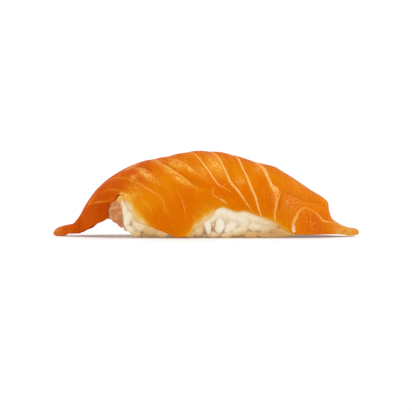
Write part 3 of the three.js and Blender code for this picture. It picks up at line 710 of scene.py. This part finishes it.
relief = fat * 0.3 - crease * 0.3 + fibre * 0.3 + cloud * 0.6 + speck * (0.12 + (wet_and_glint + hatch * 0.5) * 0.4)
bump = add_node(tree, "ShaderNodeBump", {}, {"Strength": 0.5, "Distance": 0.0003, "Height": relief})
finish_surface(tree, {
    "Base Color": body,
    "Roughness": 0.46 + (cloud - 0.5) * 0.2 - wet_and_glint * 0.1,
    "Normal": bump.outputs[0],
    "Subsurface Weight": 0.12,
    "Subsurface Radius": (1, 0.3, 0.05),
    "Subsurface Scale": 0.002,
    "IOR": 1.36,
    "Specular IOR Level": 0.015,
    "Specular Tint": (1, 0.75, 0.2, 1),
    "Coat Weight": (wet_and_glint * 0.36 + (patch - 0.58).at_least(0) * 0.7 * (1 - ridge)).at_most(1),
    "Coat Roughness": 0.22,
    "Coat IOR": 1.36,
})

salmon_slice = bpy.data.objects.new("salmon_slice", slice_mesh)
bpy.context.scene.collection.objects.link(salmon_slice)
slice_mesh.materials.append(flesh)
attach(salmon_slice, "root")
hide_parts("salmon")

# ---------------------------------------------------------------- the block of rice: its core
# Vinegared short-grain rice, pressed by hand into a long block with a flat foot that draws in. This is
# the middle, fitted to the slice's underside, and the grains that show lie on it.

GAP = 0.65
CORE_ENDS = (-28.6, 28.4)
CORE_MIDDLE_HEIGHT = 6.6
# How far the foot draws in: a share of its width at the sides, and in millimetres at both ends.
CORE_TUCK_SIDE, CORE_TUCK_LEFT, CORE_TUCK_RIGHT = 0.15, 6.8, 3
CORE_BASE = [(8, 0), (24, 0.3), (30, 0.6)]  # the foot's height off the table
CORE_SQUARE_LEFT, CORE_SQUARE_RIGHT = 8, 7  # how square the ends are, seen from above
CORE_SQUARE_TOP, CORE_SQUARE_FOOT = 5, 7  # and how square, seen from the front
CORE_RINGS, CORE_TURNS = 90, 44
CORE_TOP, CORE_WALL = 0.6, 0.25  # the shares of half a ring along the top and down the wall
core_base = curve_through(CORE_BASE)


def ceiling(x, side, path):
    """The underside of the slice as cut by a plane across X, less the air under it."""
    normal = outwards(x, side, path)
    depth = GAP - (depth_vector(x, side, path, np.zeros(1)) * normal).sum(axis=-1)
    in_plane = normal * (0, 1, 1)
    return outside_point(x, side, path) - in_plane * (depth / (in_plane**2).sum(axis=-1))[..., None]


def core_grid():
    """Rings round the core, from its top down the front, under the foot and up the back."""
    along = np.sin(np.linspace(-1, 1, CORE_RINGS + 2)[1:-1] * math.pi / 2)[:, None]
    turn = np.linspace(0, 2, 2 * CORE_TURNS + 1)[None, :-1]
    along, turn = np.broadcast_arrays(along, turn)
    side = np.where(turn <= 1, FRONT, BACK)
    turn = np.where(turn <= 1, turn, 2 - turn)
    down = np.clip((turn - CORE_TOP) / CORE_WALL, 0, 1)
    tuck = np.where(along < 0, CORE_TUCK_LEFT, CORE_TUCK_RIGHT) * down
    x = CORE_ENDS[0] + (CORE_ENDS[1] - CORE_ENDS[0]) * (along + 1) / 2 - tuck * along**5

    def close(power):
        return (1 - np.abs(along) ** power) ** (1 / power)

    point = ceiling(x, side, np.clip(turn / CORE_TOP, 0, 1))
    underneath = np.clip((1 - turn) / (1 - CORE_TOP - CORE_WALL), 0, 1)
    width = (point[..., 1] - sway(x)) * (1 - CORE_TUCK_SIDE * down**2) * underneath
    width = width * close(np.where(along < 0, CORE_SQUARE_LEFT, CORE_SQUARE_RIGHT))
    height = point[..., 2] * (1 - down) + core_base(x) * down - CORE_MIDDLE_HEIGHT
    z = CORE_MIDDLE_HEIGHT + height * np.where(height > 0, close(CORE_SQUARE_TOP), close(CORE_SQUARE_FOOT))
    return np.stack([x, sway(x) + width, z], axis=-1), side, turn


core, core_side, core_turn = core_grid()
core_mesh = closed_skin("rice_core", core, *((end, 0, CORE_MIDDLE_HEIGHT) for end in CORE_ENDS))
SHOWS_UNDER = 1.6  # how far above the slice's edge a grain can still be seen
SHOWS_TURN = 0.84  # grains lie down to here, just above the foot
shows = (core[..., 2] < edge_height(core[..., 0], core_side) + SHOWS_UNDER) & (core_turn < SHOWS_TURN)
rice_block = bpy.data.objects.new("rice_block", core_mesh)
bpy.context.scene.collection.objects.link(rice_block)

# ---------------------------------------------------------------- the block of rice: its grains
# Cooked grains are plump, about 6 by 3 mm, and stick flat against their neighbours, so that pressing
# half melts them into one body. The grains in front lie where they are listed, others fill the rest in
# two layers, and each is pressed in until it clears the fish.

GRAIN_LENGTH, GRAIN_WIDTH, GRAIN_THICKNESS = 6, 2.9, 2.6
# Each layer: how proud of the core it stands, spacing, seed, and its lowest and highest tone.
GRAIN_LAYERS = [(0.2, 2, 5, 0.5, 1.2), (1.1, 3.1, 3, 0, 1)]
SLICE_CLEARANCE = 0.12

# Grains of the front: place along X, height, lean in degrees, length, width, how far their outer faces
# lie behind the fish's, and tone, from 0, white, to 1, cream, and below 0 yellow.
FRONT_GRAINS = [
    (4.3, 7.8, 22, 6.4, 3.6, 0.5, 0.1), (7.6, 6.6, -48, 7, 4.2, 0.5, 0),
    (4.3, 3.7, 86, 4.8, 3.1, 0.1, -0.1), (7.7, 3.7, 50, 6, 3.6, 0.65, 0.1),
    (0.8, 3.5, 97, 4.8, 2.1, 0.35, 0), (-1.9, 2, 65, 3.8, 3.2, 0.6, 1.5),
    (2.2, 6, 55, 4.2, 2.8, 0.7, 0.2), (11.2, 6.9, 15, 4.4, 3.2, 0.5, 0.3),
    (10.9, 4.9, -42, 5.2, 3.4, 0.4, 0.2), (14.9, 5.6, -16, 6, 2.8, 0.6, 0.3),
    (18.6, 4.2, -14, 5.4, 2.4, 0.7, 0.5), (14.6, 3.3, -6, 6.2, 3, 0.7, 0.4),
    (18.2, 2.7, 3, 5.6, 2.8, 0.7, 0.5), (10.2, 2.1, 28, 5.2, 2.8, 0.5, 0.5),
    (13.2, 1, -4, 5, 2.2, 0.8, 0.8), (21.6, 2, 10, 4.4, 2, 0.8, 0.9), (24.2, 1.1, 2, 5.6, 1.7, 0.9, 0.9),
    (17.6, 0.9, 0, 5.4, 1.9, 1, 0.9), (21.4, 0.8, 2, 4.8, 1.7, 1, 0.9), (2.6, 1, 0, 4.6, 2, 0.9, 1),
    (6.6, 0.9, 10, 4.8, 2, 0.9, 0.8), (-4.4, 0.9, 20, 3.4, 2, 0.8, 1.5),
    (-24.9, 11.4, 74, 3.4, 2.2, -0.1, -1), (-26.3, 10.2, 60, 2.4, 1.8, 0.2, 0.8),
    (-25, 9.1, 68, 2.8, 1.8, 0.3, 1.2), (-24, 7.9, 70, 3.4, 2.2, 0.4, 0.5),
    (-23.3, 5.6, 84, 4.6, 3.2, 0.35, 0.2), (-22.4, 2.7, -38, 3.8, 2.3, 0.7, 0.5),
    (-19.6, 3.3, -24, 4.8, 2.8, 0.5, 0.8), (-16.6, 2.1, -14, 5, 2.6, 0.6, 1.6),
    (-20.6, 1.2, -10, 3.4, 2, 0.9, 1), (-12.9, 1.1, -6, 4.4, 2.1, 0.8, 1.4),
    (-27.5, 9.9, 60, 2, 1.5, -0.1, 0.8), (-28.3, 8, 90, 2.4, 1.9, 0.4, 0.8),
    (-27.6, 7.3, 70, 4.2, 2.6, 0.1, 1), (-26, 6.2, 60, 4.4, 2.6, 0.2, 1),
    (-25.6, 4.2, -50, 3.4, 2.2, 0.9, 0.9),
]
FRONT_GRAIN_ROOM = 1.7  # no scattered grain of the outer layer lies closer than this to one of these
core_points, core_around = core.reshape(-1, 3), core.shape[1]
free = np.ones(len(core_points))
placed_points, placed = [], {"out": [], "lie": [], "size": [], "tone": []}
for at_x, at_z, lean, long, wide, behind, tone in FRONT_GRAINS:
    at = np.array([at_x])
    skin_path = path_at(at, at_z)
    out = outwards(at, FRONT, skin_path)[0]
    centre = outside_point(at, FRONT, skin_path)[0] - out * (behind + wide / 2)
    lean = math.radians(lean)
    placed_points.append(centre * MM)
    placed["out"].append(out)
    placed["lie"].append((math.cos(lean), 0, math.sin(lean)))
    placed["size"].append((long / GRAIN_LENGTH, wide / GRAIN_WIDTH, wide / GRAIN_THICKNESS))
    placed["tone"].append(tone)
    free = np.where(np.linalg.norm(core_points - centre, axis=1) < FRONT_GRAIN_ROOM + wide / 2, 0, free)
store(core_mesh, "shows", shows.ravel())
store(core_mesh, "free", shows.ravel() * free)
front_mesh = bpy.data.meshes.new("front_grain_places")
front_mesh.from_pydata(placed_points, [], [])
for name, values in placed.items():
    store(front_mesh, name, values)
front_places = bpy.data.objects.new("front_grain_places", front_mesh)

scatter = bpy.data.node_groups.new("scatter_rice_grains", "GeometryNodeTree")
interface = scatter.interface
SIZES = {
    "Grain length": GRAIN_LENGTH, "Grain width": GRAIN_WIDTH, "Grain thickness": GRAIN_THICKNESS,
    "Slice clearance": SLICE_CLEARANCE,
}
INPUTS = {
    "Core": "Geometry", **dict.fromkeys(SIZES, "Float"), "Slice": "Object", "Front places": "Object",
    "Finish": "Material",
}
for name, kind in INPUTS.items():
    interface.new_socket(name, in_out="INPUT", socket_type="NodeSocket" + kind)
interface.new_socket("Block", in_out="OUTPUT", socket_type="NodeSocketGeometry")
given = scatter.nodes.new("NodeGroupInput").outputs
length, width, thick, clearance = (Wire(scatter, given[name]) for name in SIZES)


def vector(x, y, z):
    return add_node(scatter, "ShaderNodeCombineXYZ", {}, {0: x, 1: y, 2: z}).outputs[0]


def part_of(place, axis):
    return Wire(scatter, add_node(scatter, "ShaderNodeSeparateXYZ", {}, {0: place}).outputs[axis])


def vector_math(operation, inputs):
    return add_node(scatter, "ShaderNodeVectorMath", {"operation": operation}, inputs).outputs[0]


def random_number(low, high, seed):
    inputs = {2: low, 3: high, "Seed": seed}
    node = add_node(scatter, "FunctionNodeRandomValue", {"data_type": "FLOAT"}, inputs)
    return Wire(scatter, node.outputs[1])


def rotation(kind, settings, inputs):
    return add_node(scatter, f"FunctionNode{kind}", settings, inputs).outputs[0]


def named(name, kind="FLOAT"):
    settings = {"data_type": kind}
    return add_node(scatter, "GeometryNodeInputNamedAttribute", settings, {"Name": name}).outputs[0]


def geometry(kind, settings=None, inputs=None, output=0):
    return add_node(scatter, f"GeometryNode{kind}", settings, inputs).outputs[output]


position = geometry("InputPosition")
slice_surface = geometry("ObjectInfo", {}, {"Object": given["Slice"]}, "Geometry")
GRAIN_SEGMENTS, GRAIN_RINGS, GRAIN_BEND = 8, 7, 0.4
ball = geometry("MeshUVSphere", {}, {"Segments": GRAIN_SEGMENTS, "Rings": GRAIN_RINGS, "Radius": 0.5})
lying = geometry("Transform", {}, {"Geometry": ball, "Rotation": (0, math.pi / 2, 0)})
grain = geometry("Transform", {}, {"Geometry": lying, "Scale": vector(length, width, thick)})
lengthways = part_of(position, "X") / length
bent = vector(0, lengthways * lengthways * width * GRAIN_BEND, 0)
grain = geometry("SetPosition", {}, {"Geometry": grain, "Offset": bent})


def grains_at(points, turn, size, tone):
    inputs = {"Points": points, "Instance": grain, "Rotation": turn, "Scale": size}
    instances = geometry("InstanceOnPoints", {}, inputs)
    settings = {"data_type": "FLOAT", "domain": "INSTANCE"}
    inputs = {"Geometry": instances, "Name": "tone", "Value": tone}
    toned = geometry("StoreNamedAttribute", settings, inputs)
    return geometry("RealizeInstances", {}, {"Geometry": toned})


END_ROOM = 0.4  # a grain's clearance is felt at its middle, and this share of its length to each side


def pressed_in(points, out, turn, scale, proud, tone):
    """Grains at these points, each sunk until it clears the slice and lifted until it clears the table."""
    half = rotation("RotateVector", {}, {0: vector(length * END_ROOM, 0, 0), 1: turn})
    room = None
    for reach in (-1, 0, 1):
        spot = vector_math("ADD", {0: position, 1: vector_math("SCALE", {0: half, "Scale": reach})})
        inputs = {"Geometry": slice_surface, "Sample Position": spot}
        gap = Wire(scatter, geometry("Proximity", {"target_element": "FACES"}, inputs, "Distance"))
        room = gap if room is None else room.at_most(gap)
    half_thick = thick * scale * 0.5
    push = vector_math("SCALE", {0: out, "Scale": (room - clearance).at_most(proud) - half_thick})
    sunk_points = geometry("SetPosition", {}, {"Geometry": points, "Offset": push})
    lift = (half_thick - part_of(position, "Z")).at_least(0)
    lifted = geometry("SetPosition", {}, {"Geometry": sunk_points, "Offset": vector(0, 0, lift)})
    return grains_at(lifted, turn, vector(scale, scale, scale), tone)


front_points = geometry("ObjectInfo", {}, {"Object": given["Front places"]}, "Geometry")
facing = rotation("AlignRotationToVector", {"axis": "Z"}, {"Vector": named("out", "FLOAT_VECTOR")})
inputs = {"Rotation": facing, "Vector": named("lie", "FLOAT_VECTOR")}
laid = rotation("AlignRotationToVector", {"axis": "X", "pivot_axis": "Z"}, inputs)
layers = [given["Core"], grains_at(front_points, laid, named("size", "FLOAT_VECTOR"), named("tone"))]
CROWDING = 3e6  # more grains a square metre than the spacing lets in
ROLL, SMALLEST, LARGEST = 0.25, 0.84, 1.06
for (proud, spacing, seed, tone_low, tone_high), where in zip(GRAIN_LAYERS, ("shows", "free")):
    inputs = {
        "Mesh": given["Core"], "Distance Min": spacing * MM, "Density Max": CROWDING,
        "Density Factor": named(where), "Seed": seed,
    }
    settings = {"distribute_method": "POISSON"}
    spots = add_node(scatter, "GeometryNodeDistributePointsOnFaces", settings, inputs).outputs
    turn = random_number(0, math.tau, seed + 10)
    roll = random_number(-ROLL, ROLL, seed + 20)
    turned = rotation("EulerToRotation", {}, {0: vector(roll, roll, turn)})
    lie = rotation("RotateRotation", {"rotation_space": "LOCAL"}, {0: spots["Rotation"], 1: turned})
    scale = random_number(SMALLEST, LARGEST, seed + 30)
    tone = random_number(tone_low, tone_high, seed + 40)
    layers.append(pressed_in(spots["Points"], spots["Normal"], lie, scale, proud * MM, tone))
joined = scatter.nodes.new("GeometryNodeJoinGeometry")
for layer in reversed(layers):
    scatter.links.new(layer, joined.inputs[0])
whole = geometry("RealizeInstances", {}, {"Geometry": joined.outputs[0]})
finished = geometry("SetMaterial", {}, {"Geometry": whole, "Material": given["Finish"]})
scatter.links.new(finished, scatter.nodes.new("NodeGroupOutput").inputs["Block"])

# Cooked rice is white and waxy and lets light in a little way. Its colour has warm painted shade in the
# clefts and grooves between grains, at the foot and at the left end, with painted orange bounce from the
# fish at the left end and along its edges.
RICE_WHITE, RICE_CREAM, RICE_TAN = srgb(240, 232, 213), srgb(232, 213, 172), srgb(210, 168, 104)
RICE_CLEFT_SHADE, RICE_FOOT_SHADE, RICE_YELLOW = srgb(186, 126, 54), srgb(214, 166, 98), srgb(228, 168, 78)
RICE_END_SHADE, RICE_END_SHADE_DEEP = srgb(198, 126, 68), srgb(188, 104, 52)
FISH_BOUNCE, END_BOUNCE = srgb(238, 170, 80), srgb(208, 104, 46)

rice, tree = new_material("cooked_rice")
place, along, height = object_axes(tree)
tone, cleft = attribute(tree, "tone"), attribute(tree, "cleft")
mottle = noise(tree, place, 420, 3)
pores = noise(tree, place, 2200)
blotch = noise(tree, place, 950)
low_left = along.step(-25, -20) * along.step(-11, -15) * height.step(5, 2)
low_right = along.step(5, 10) * height.step(3.2, 1.2)
creamy = tone + along.step(7, 13) * 0.4 + along.step(16, 22) * 1.1 + low_right * 0.7 + low_left * 0.4
# The left end, turned away and beside the fish: painted shade with orange bounce from the fish.
end_shade = (along + height * 0.1 + (mottle - 0.5) * 0.8).step(-23.2, -23.9)
painted_bounce = layered(tree, FISH_BOUNCE, [(end_shade, END_BOUNCE)])
colour = layered(tree, RICE_WHITE, [
    (creamy * 0.75 + (mottle - 0.5) * 0.5 + (blotch - 0.5) * 0.7 + 0.05, RICE_CREAM),
    ((creamy - 0.9).at_least(0) * 0.8, RICE_TAN),
    # painted shade at the foot, near the table
    (height.step(2, 0.1) * 0.7, RICE_FOOT_SHADE),
    # painted shade at the left end, mottled darker and lighter
    (end_shade * 0.95, RICE_END_SHADE),
    (end_shade * blotch.step(0.54, 0.36) * 0.55, RICE_END_SHADE_DEEP),
    (end_shade * blotch.step(0.5, 0.7) * 0.3, RICE_CREAM),
    (tone.step(-0.2, -0.7) * height.step(9.8, 11.4), RICE_YELLOW),
    # painted shade in the clefts and grooves between grains
    (cleft.step(0.35, 1.3) * 0.6, RICE_CLEFT_SHADE),
    (attribute(tree, "groove") * mottle.step(0.4, 0.62) * 0.32, RICE_CLEFT_SHADE),
    # painted orange bounce from the fish along its edge, over the shade in the seam
    (attribute(tree, "by_fish") * 0.7, painted_bounce),
])
relief = mottle + pores * 0.3
bump = add_node(tree, "ShaderNodeBump", {}, {"Strength": 0.3, "Distance": 0.0002, "Height": relief})
finish_surface(tree, {
    "Base Color": colour,
    "Roughness": 0.36 + mottle * 0.2,
    "Normal": bump.outputs[0],
    "Subsurface Weight": 0.5,
    "Subsurface Radius": (1, 0.8, 0.5),
    "Subsurface Scale": 0.0014,
    "Specular IOR Level": 0.3,
})

modifier = rice_block.modifiers.new("grains", "NODES")
modifier.node_group = scatter
values = {name: size * MM for name, size in SIZES.items()}
values.update({"Slice": salmon_slice, "Front places": front_places, "Finish": rice})
for item in interface.items_tree:
    if item.name in values:
        modifier[item.identifier] = values[item.name]


def evaluated_mesh(piece):
    bpy.context.view_layer.update()
    graph = bpy.context.evaluated_depsgraph_get()
    whole = piece.evaluated_get(graph)
    return bpy.data.meshes.new_from_object(whole, preserve_all_data_layers=True, depsgraph=graph)


loose_mesh = evaluated_mesh(rice_block)
MELT_VOXEL = 0.27
melt = rice_block.modifiers.new("melt_together", "REMESH")
melt.mode, melt.voxel_size, melt.use_smooth_shade = "VOXEL", MELT_VOXEL * MM, True
block_mesh = evaluated_mesh(rice_block)
rice_block.modifiers.clear()
rice_block.data = block_mesh
block_mesh.name = "rice_block"


def read_points(mesh):
    points = np.zeros(len(mesh.vertices) * 3, np.float32)
    mesh.vertices.foreach_get("co", points)
    return points.reshape(-1, 3).astype(float)


edges = np.zeros(len(block_mesh.edges) * 2, np.int32)
block_mesh.edges.foreach_get("vertices", edges)
edges = edges.reshape(-1, 2)
points = read_points(block_mesh)
neighbours = np.bincount(edges.ravel(), minlength=len(points))[:, None]


def neighbour_mean(values):
    """Each point's value as the mean of its neighbours'."""
    total = np.zeros_like(values)
    np.add.at(total, edges[:, 0], values[edges[:, 1]])
    np.add.at(total, edges[:, 1], values[edges[:, 0]])
    return total / neighbours


def evened(values, share, rounds=1):
    """Values that are moved this share of the way to their neighbours' mean, round by round."""
    for _ in range(rounds):
        values = values * (1 - share) + neighbour_mean(values) * share
    return values


def vertex_normals(mesh, points):
    mesh.vertices.foreach_set("co", points.astype(np.float32).ravel())
    mesh.update()
    return np.array([vertex.normal for vertex in mesh.vertices])


def sunken(points):
    """The block's normals, and how far below its neighbours each point lies."""
    normals = vertex_normals(block_mesh, points)
    return normals, ((neighbour_mean(points) - points) * normals).sum(axis=1, keepdims=True)


# Cooked rice sticks together, so its narrow crevices are filled, while the grains stay round.
FIRST_EVENING = 0.5
FILL_ROUNDS, FILL = 2, 0.6
points = evened(points, FIRST_EVENING)
for _ in range(FILL_ROUNDS):
    normals, depth = sunken(points)
    points += normals * np.clip(depth, 0, None) * FILL

# Which grains a point lies nearest to, as if each were an egg. A groove parts the two nearest.
GRAIN_POINTS = GRAIN_SEGMENTS * (GRAIN_RINGS - 1) + 2
GROOVE_DEPTH, GROOVE_WIDTH, TONE_BLEND = 0.16, 0.26, 0.16
CORE_TONE, CORE_WEIGHT = 1.1, 0.01  # the core's tone counts only where no grain is near
SMOOTH_FROM, SMOOTH_TO, SMOOTHER = 4.6, 6.2, 0.6
# How clearly the grains stand apart along the block. Higher up they are pressed smoother.
PARTED = [
    (-30, 0.6), (-24, 0.6), (-20, 0.4), (-12, 0.5), (-5, 0.9), (-3, 1), (4.6, 1), (6.4, 0.6), (13, 0.4),
    (29, 0.3),
]
loose_points = read_points(loose_mesh) / MM
loose_tone = np.zeros(len(loose_points), np.float32)
loose_mesh.attributes["tone"].data.foreach_get("value", loose_tone)
core_count = len(core_mesh.vertices)
loose_grains = loose_points[core_count:].reshape(-1, GRAIN_POINTS, 3)
grain_tones = loose_tone[core_count::GRAIN_POINTS]
nearest, second = np.ones(len(points)), np.ones(len(points))
tone_sum, weight_sum = np.full(len(points), CORE_TONE * CORE_WEIGHT), np.full(len(points), CORE_WEIGHT)
for corners, tone in zip(loose_grains, grain_tones):
    centre = corners.mean(axis=0)
    spans, turn = np.linalg.eigh(np.cov((corners - centre).T))
    near = np.flatnonzero(np.linalg.norm(points / MM - centre, axis=1) < GRAIN_LENGTH)
    shape = turn / np.sqrt(spans)
    reach = np.linalg.norm((corners - centre) @ shape, axis=1).mean()
    off = (np.linalg.norm((points[near] / MM - centre) @ shape, axis=1) / reach - 1) * GRAIN_WIDTH / 2
    second[near] = np.minimum(second[near], np.maximum(off, nearest[near]))
    nearest[near] = np.minimum(nearest[near], off)
    weight = np.exp(-np.clip(off, -1, 3) / TONE_BLEND)
    tone_sum[near] += weight * tone
    weight_sum[near] += weight
groove = np.exp(-(((second - nearest) / GROOVE_WIDTH) ** 2)) * smoothstep(0.9, 0.4, nearest)
groove *= curve_through(PARTED)(points[:, 0] / MM)
groove *= 1 - SMOOTHER * smoothstep(SMOOTH_FROM, SMOOTH_TO, points[:, 2] / MM)
normals = vertex_normals(block_mesh, points)
points -= normals * (groove * GROOVE_DEPTH * MM)[:, None]
store(block_mesh, "tone", tone_sum / weight_sum)
store(block_mesh, "groove", groove)

faces = [face.vertices for face in slice_mesh.polygons]
slice_faces = BVHTree.FromPolygons(read_points(slice_mesh).tolist(), faces)


def nearest_on_slice(points):
    """The nearest place on the slice for each point, and how many millimetres off it is."""
    spots = [slice_faces.find_nearest(point) for point in points]
    return np.array([spot[0] for spot in spots]), np.array([spot[3] for spot in spots]) / MM


# Near the slice's edges the rice squeezes out until it is almost flush with the fish's outside.
# At the left end, under the tail's cut face, the whole end bulges out.
SQUEEZE, SQUEEZE_DEPTH, SQUEEZE_GAP, SQUEEZE_ROUNDS = 0.7, 3.5, 0.04, 2
END_SQUEEZE, END_DEPTH, END_FROM, END_TO = 0.9, 6, -22, -26
SPREAD_SHARE, SPREAD_ROUNDS = 0.6, 14  # evens the push out, so that the grains keep their relief
for _ in range(SQUEEZE_ROUNDS):
    rice_x, rice_y, rice_z = (points / MM).T
    rice_side = np.where(rice_y < sway(rice_x), FRONT, BACK)
    rice_path = path_at(rice_x, rice_z)
    rice_edge = edge_height(rice_x, rice_side)
    skin_y = outside_point(rice_x, rice_side, rice_path)[:, 1]
    skin_room = np.abs(skin_y - sway(rice_x)) - np.abs(rice_y - sway(rice_x))
    slice_room = nearest_on_slice(points)[1] - SQUEEZE_GAP
    at_end = smoothstep(END_FROM, END_TO, rice_x)
    depth = SQUEEZE_DEPTH + END_DEPTH * at_end
    squeeze = (SQUEEZE + END_SQUEEZE * at_end) * smoothstep(rice_edge - depth, rice_edge - 0.8, rice_z)
    squeeze = np.clip(np.minimum(np.minimum(squeeze, slice_room), skin_room), 0, None)
    squeeze = (squeeze * smoothstep(0.3, 1.6, rice_z) * smoothstep(0.45, 0.75, rice_path))[:, None]
    squeeze = evened(squeeze, SPREAD_SHARE, SPREAD_ROUNDS)
    squeeze = np.minimum(squeeze, np.clip(slice_room, 0, None)[:, None])
    points += outwards(rice_x, rice_side, rice_path) * squeeze * MM
# Sticky rice clings to the fish, so the last air between them closes.
CLING_REACH, CLING_FULL, CLING_GAP, CLING_ROUNDS = 0.7, 0.2, 0.03, 3
spots, slice_room = nearest_on_slice(points)
share = np.clip(1 - CLING_GAP / np.maximum(slice_room, CLING_GAP), 0, 1)
share *= smoothstep(CLING_REACH, CLING_FULL, slice_room)
points += evened((spots - points) * share[:, None], 0.5, CLING_ROUNDS)
# At the left end the rice is pressed smooth.
SOFT_ROUNDS, SOFT_SHARE, SOFT_FROM, SOFT_TO = 6, 0.6, -23.5, -26
for _ in range(SOFT_ROUNDS):
    soft = SOFT_SHARE * smoothstep(SOFT_FROM, SOFT_TO, points[:, :1] / MM)
    points += (neighbour_mean(points) - points) * soft
points[:, 2] = np.maximum(points[:, 2], 0)
# What the material reads for its painted shade and bounce: how deep in a cleft a point is, and how close
# to the fish.
CLEFT_DEPTH, GLOW_REACH = 0.03, 0.45
depth = evened(sunken(points)[1] / MM, 0.6, 2)
store(block_mesh, "cleft", depth[:, 0] / CLEFT_DEPTH)
store(block_mesh, "by_fish", np.exp(-nearest_on_slice(points)[1] / GLOW_REACH))

block_mesh.materials.clear()
block_mesh.materials.append(rice)
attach(rice_block, "root")
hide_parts("rice")

# ---------------------------------------------------------------- the set
# A white surface in a bright white room, which lights the piece softly from all round, with one small
# lamp above to the left for its sheen. The camera looks almost level at the front of the slice.

FLOOR_REACH, FLOOR_DROP = 1.5, 0.00003
WHITE = (1, 1, 1, 1)
corners = [(a * FLOOR_REACH, b * FLOOR_REACH, -FLOOR_DROP) for a, b in ((-1, -1), (1, -1), (1, 1), (-1, 1))]
floor_mesh = bpy.data.meshes.new("floor")
floor_mesh.from_pydata(corners, [], [(0, 1, 2, 3)])
floor = bpy.data.objects.new("floor", floor_mesh)
bpy.context.scene.collection.objects.link(floor)
paper, tree = new_material("white_surface")
# It glows a little, as a white table does between bright walls, which keeps the shadow soft.
finish_surface(tree, {
    "Base Color": (0.8, 0.8, 0.8, 1),
    "Roughness": 0.6,
    "Specular IOR Level": 0.1,
    "Emission Color": WHITE,
    "Emission Strength": 0.16,
})
floor_mesh.materials.append(paper)

ROOM_LIGHT = 1.06
world = bpy.data.worlds.new("white_room")
world.use_nodes = True
background = world.node_tree.nodes["Background"].inputs
background["Color"].default_value = WHITE
background["Strength"].default_value = ROOM_LIGHT
bpy.context.scene.world = world


def turned_to(place, aim):
    """The turn that points a lamp or camera at its aim."""
    return (Vector(aim) - Vector(place)).to_track_quat("-Z", "Y").to_euler()


KEY_PLACE, KEY_AIM, KEY_SIZE, KEY_WATTS = (-0.1, -0.02, 0.5), (0, 0, 0.01), 0.06, 0.25
lamp = bpy.data.lights.new("key_above", "AREA")
lamp.shape = "SQUARE"
lamp.size = KEY_SIZE
lamp.energy = KEY_WATTS
key = bpy.data.objects.new("key_above", lamp)
key.location = KEY_PLACE
key.rotation_euler = turned_to(KEY_PLACE, KEY_AIM)
bpy.context.scene.collection.objects.link(key)

CAMERA_DISTANCE, CAMERA_ELEVATION, SENSOR = 0.5, math.radians(1.5), 36
FRAME_PIXELS, PIXELS_PER_METRE = 412, 3320.7
AIM = Vector((0.00015, 0, 0.0089))
camera = bpy.data.objects.new("camera", bpy.data.cameras.new("camera"))
camera.data.sensor_width = SENSOR
camera.data.lens = SENSOR * CAMERA_DISTANCE * PIXELS_PER_METRE / FRAME_PIXELS
back_off = Vector((0, -math.cos(CAMERA_ELEVATION), math.sin(CAMERA_ELEVATION)))
camera.location = AIM + back_off * CAMERA_DISTANCE
camera.rotation_euler = (-back_off).to_track_quat("-Z", "Y").to_euler()
camera.data.clip_start = 0.01
camera.data.clip_end = 10
bpy.context.scene.collection.objects.link(camera)
bpy.context.scene.camera = camera
bpy.context.scene.view_settings.view_transform = "Standard"
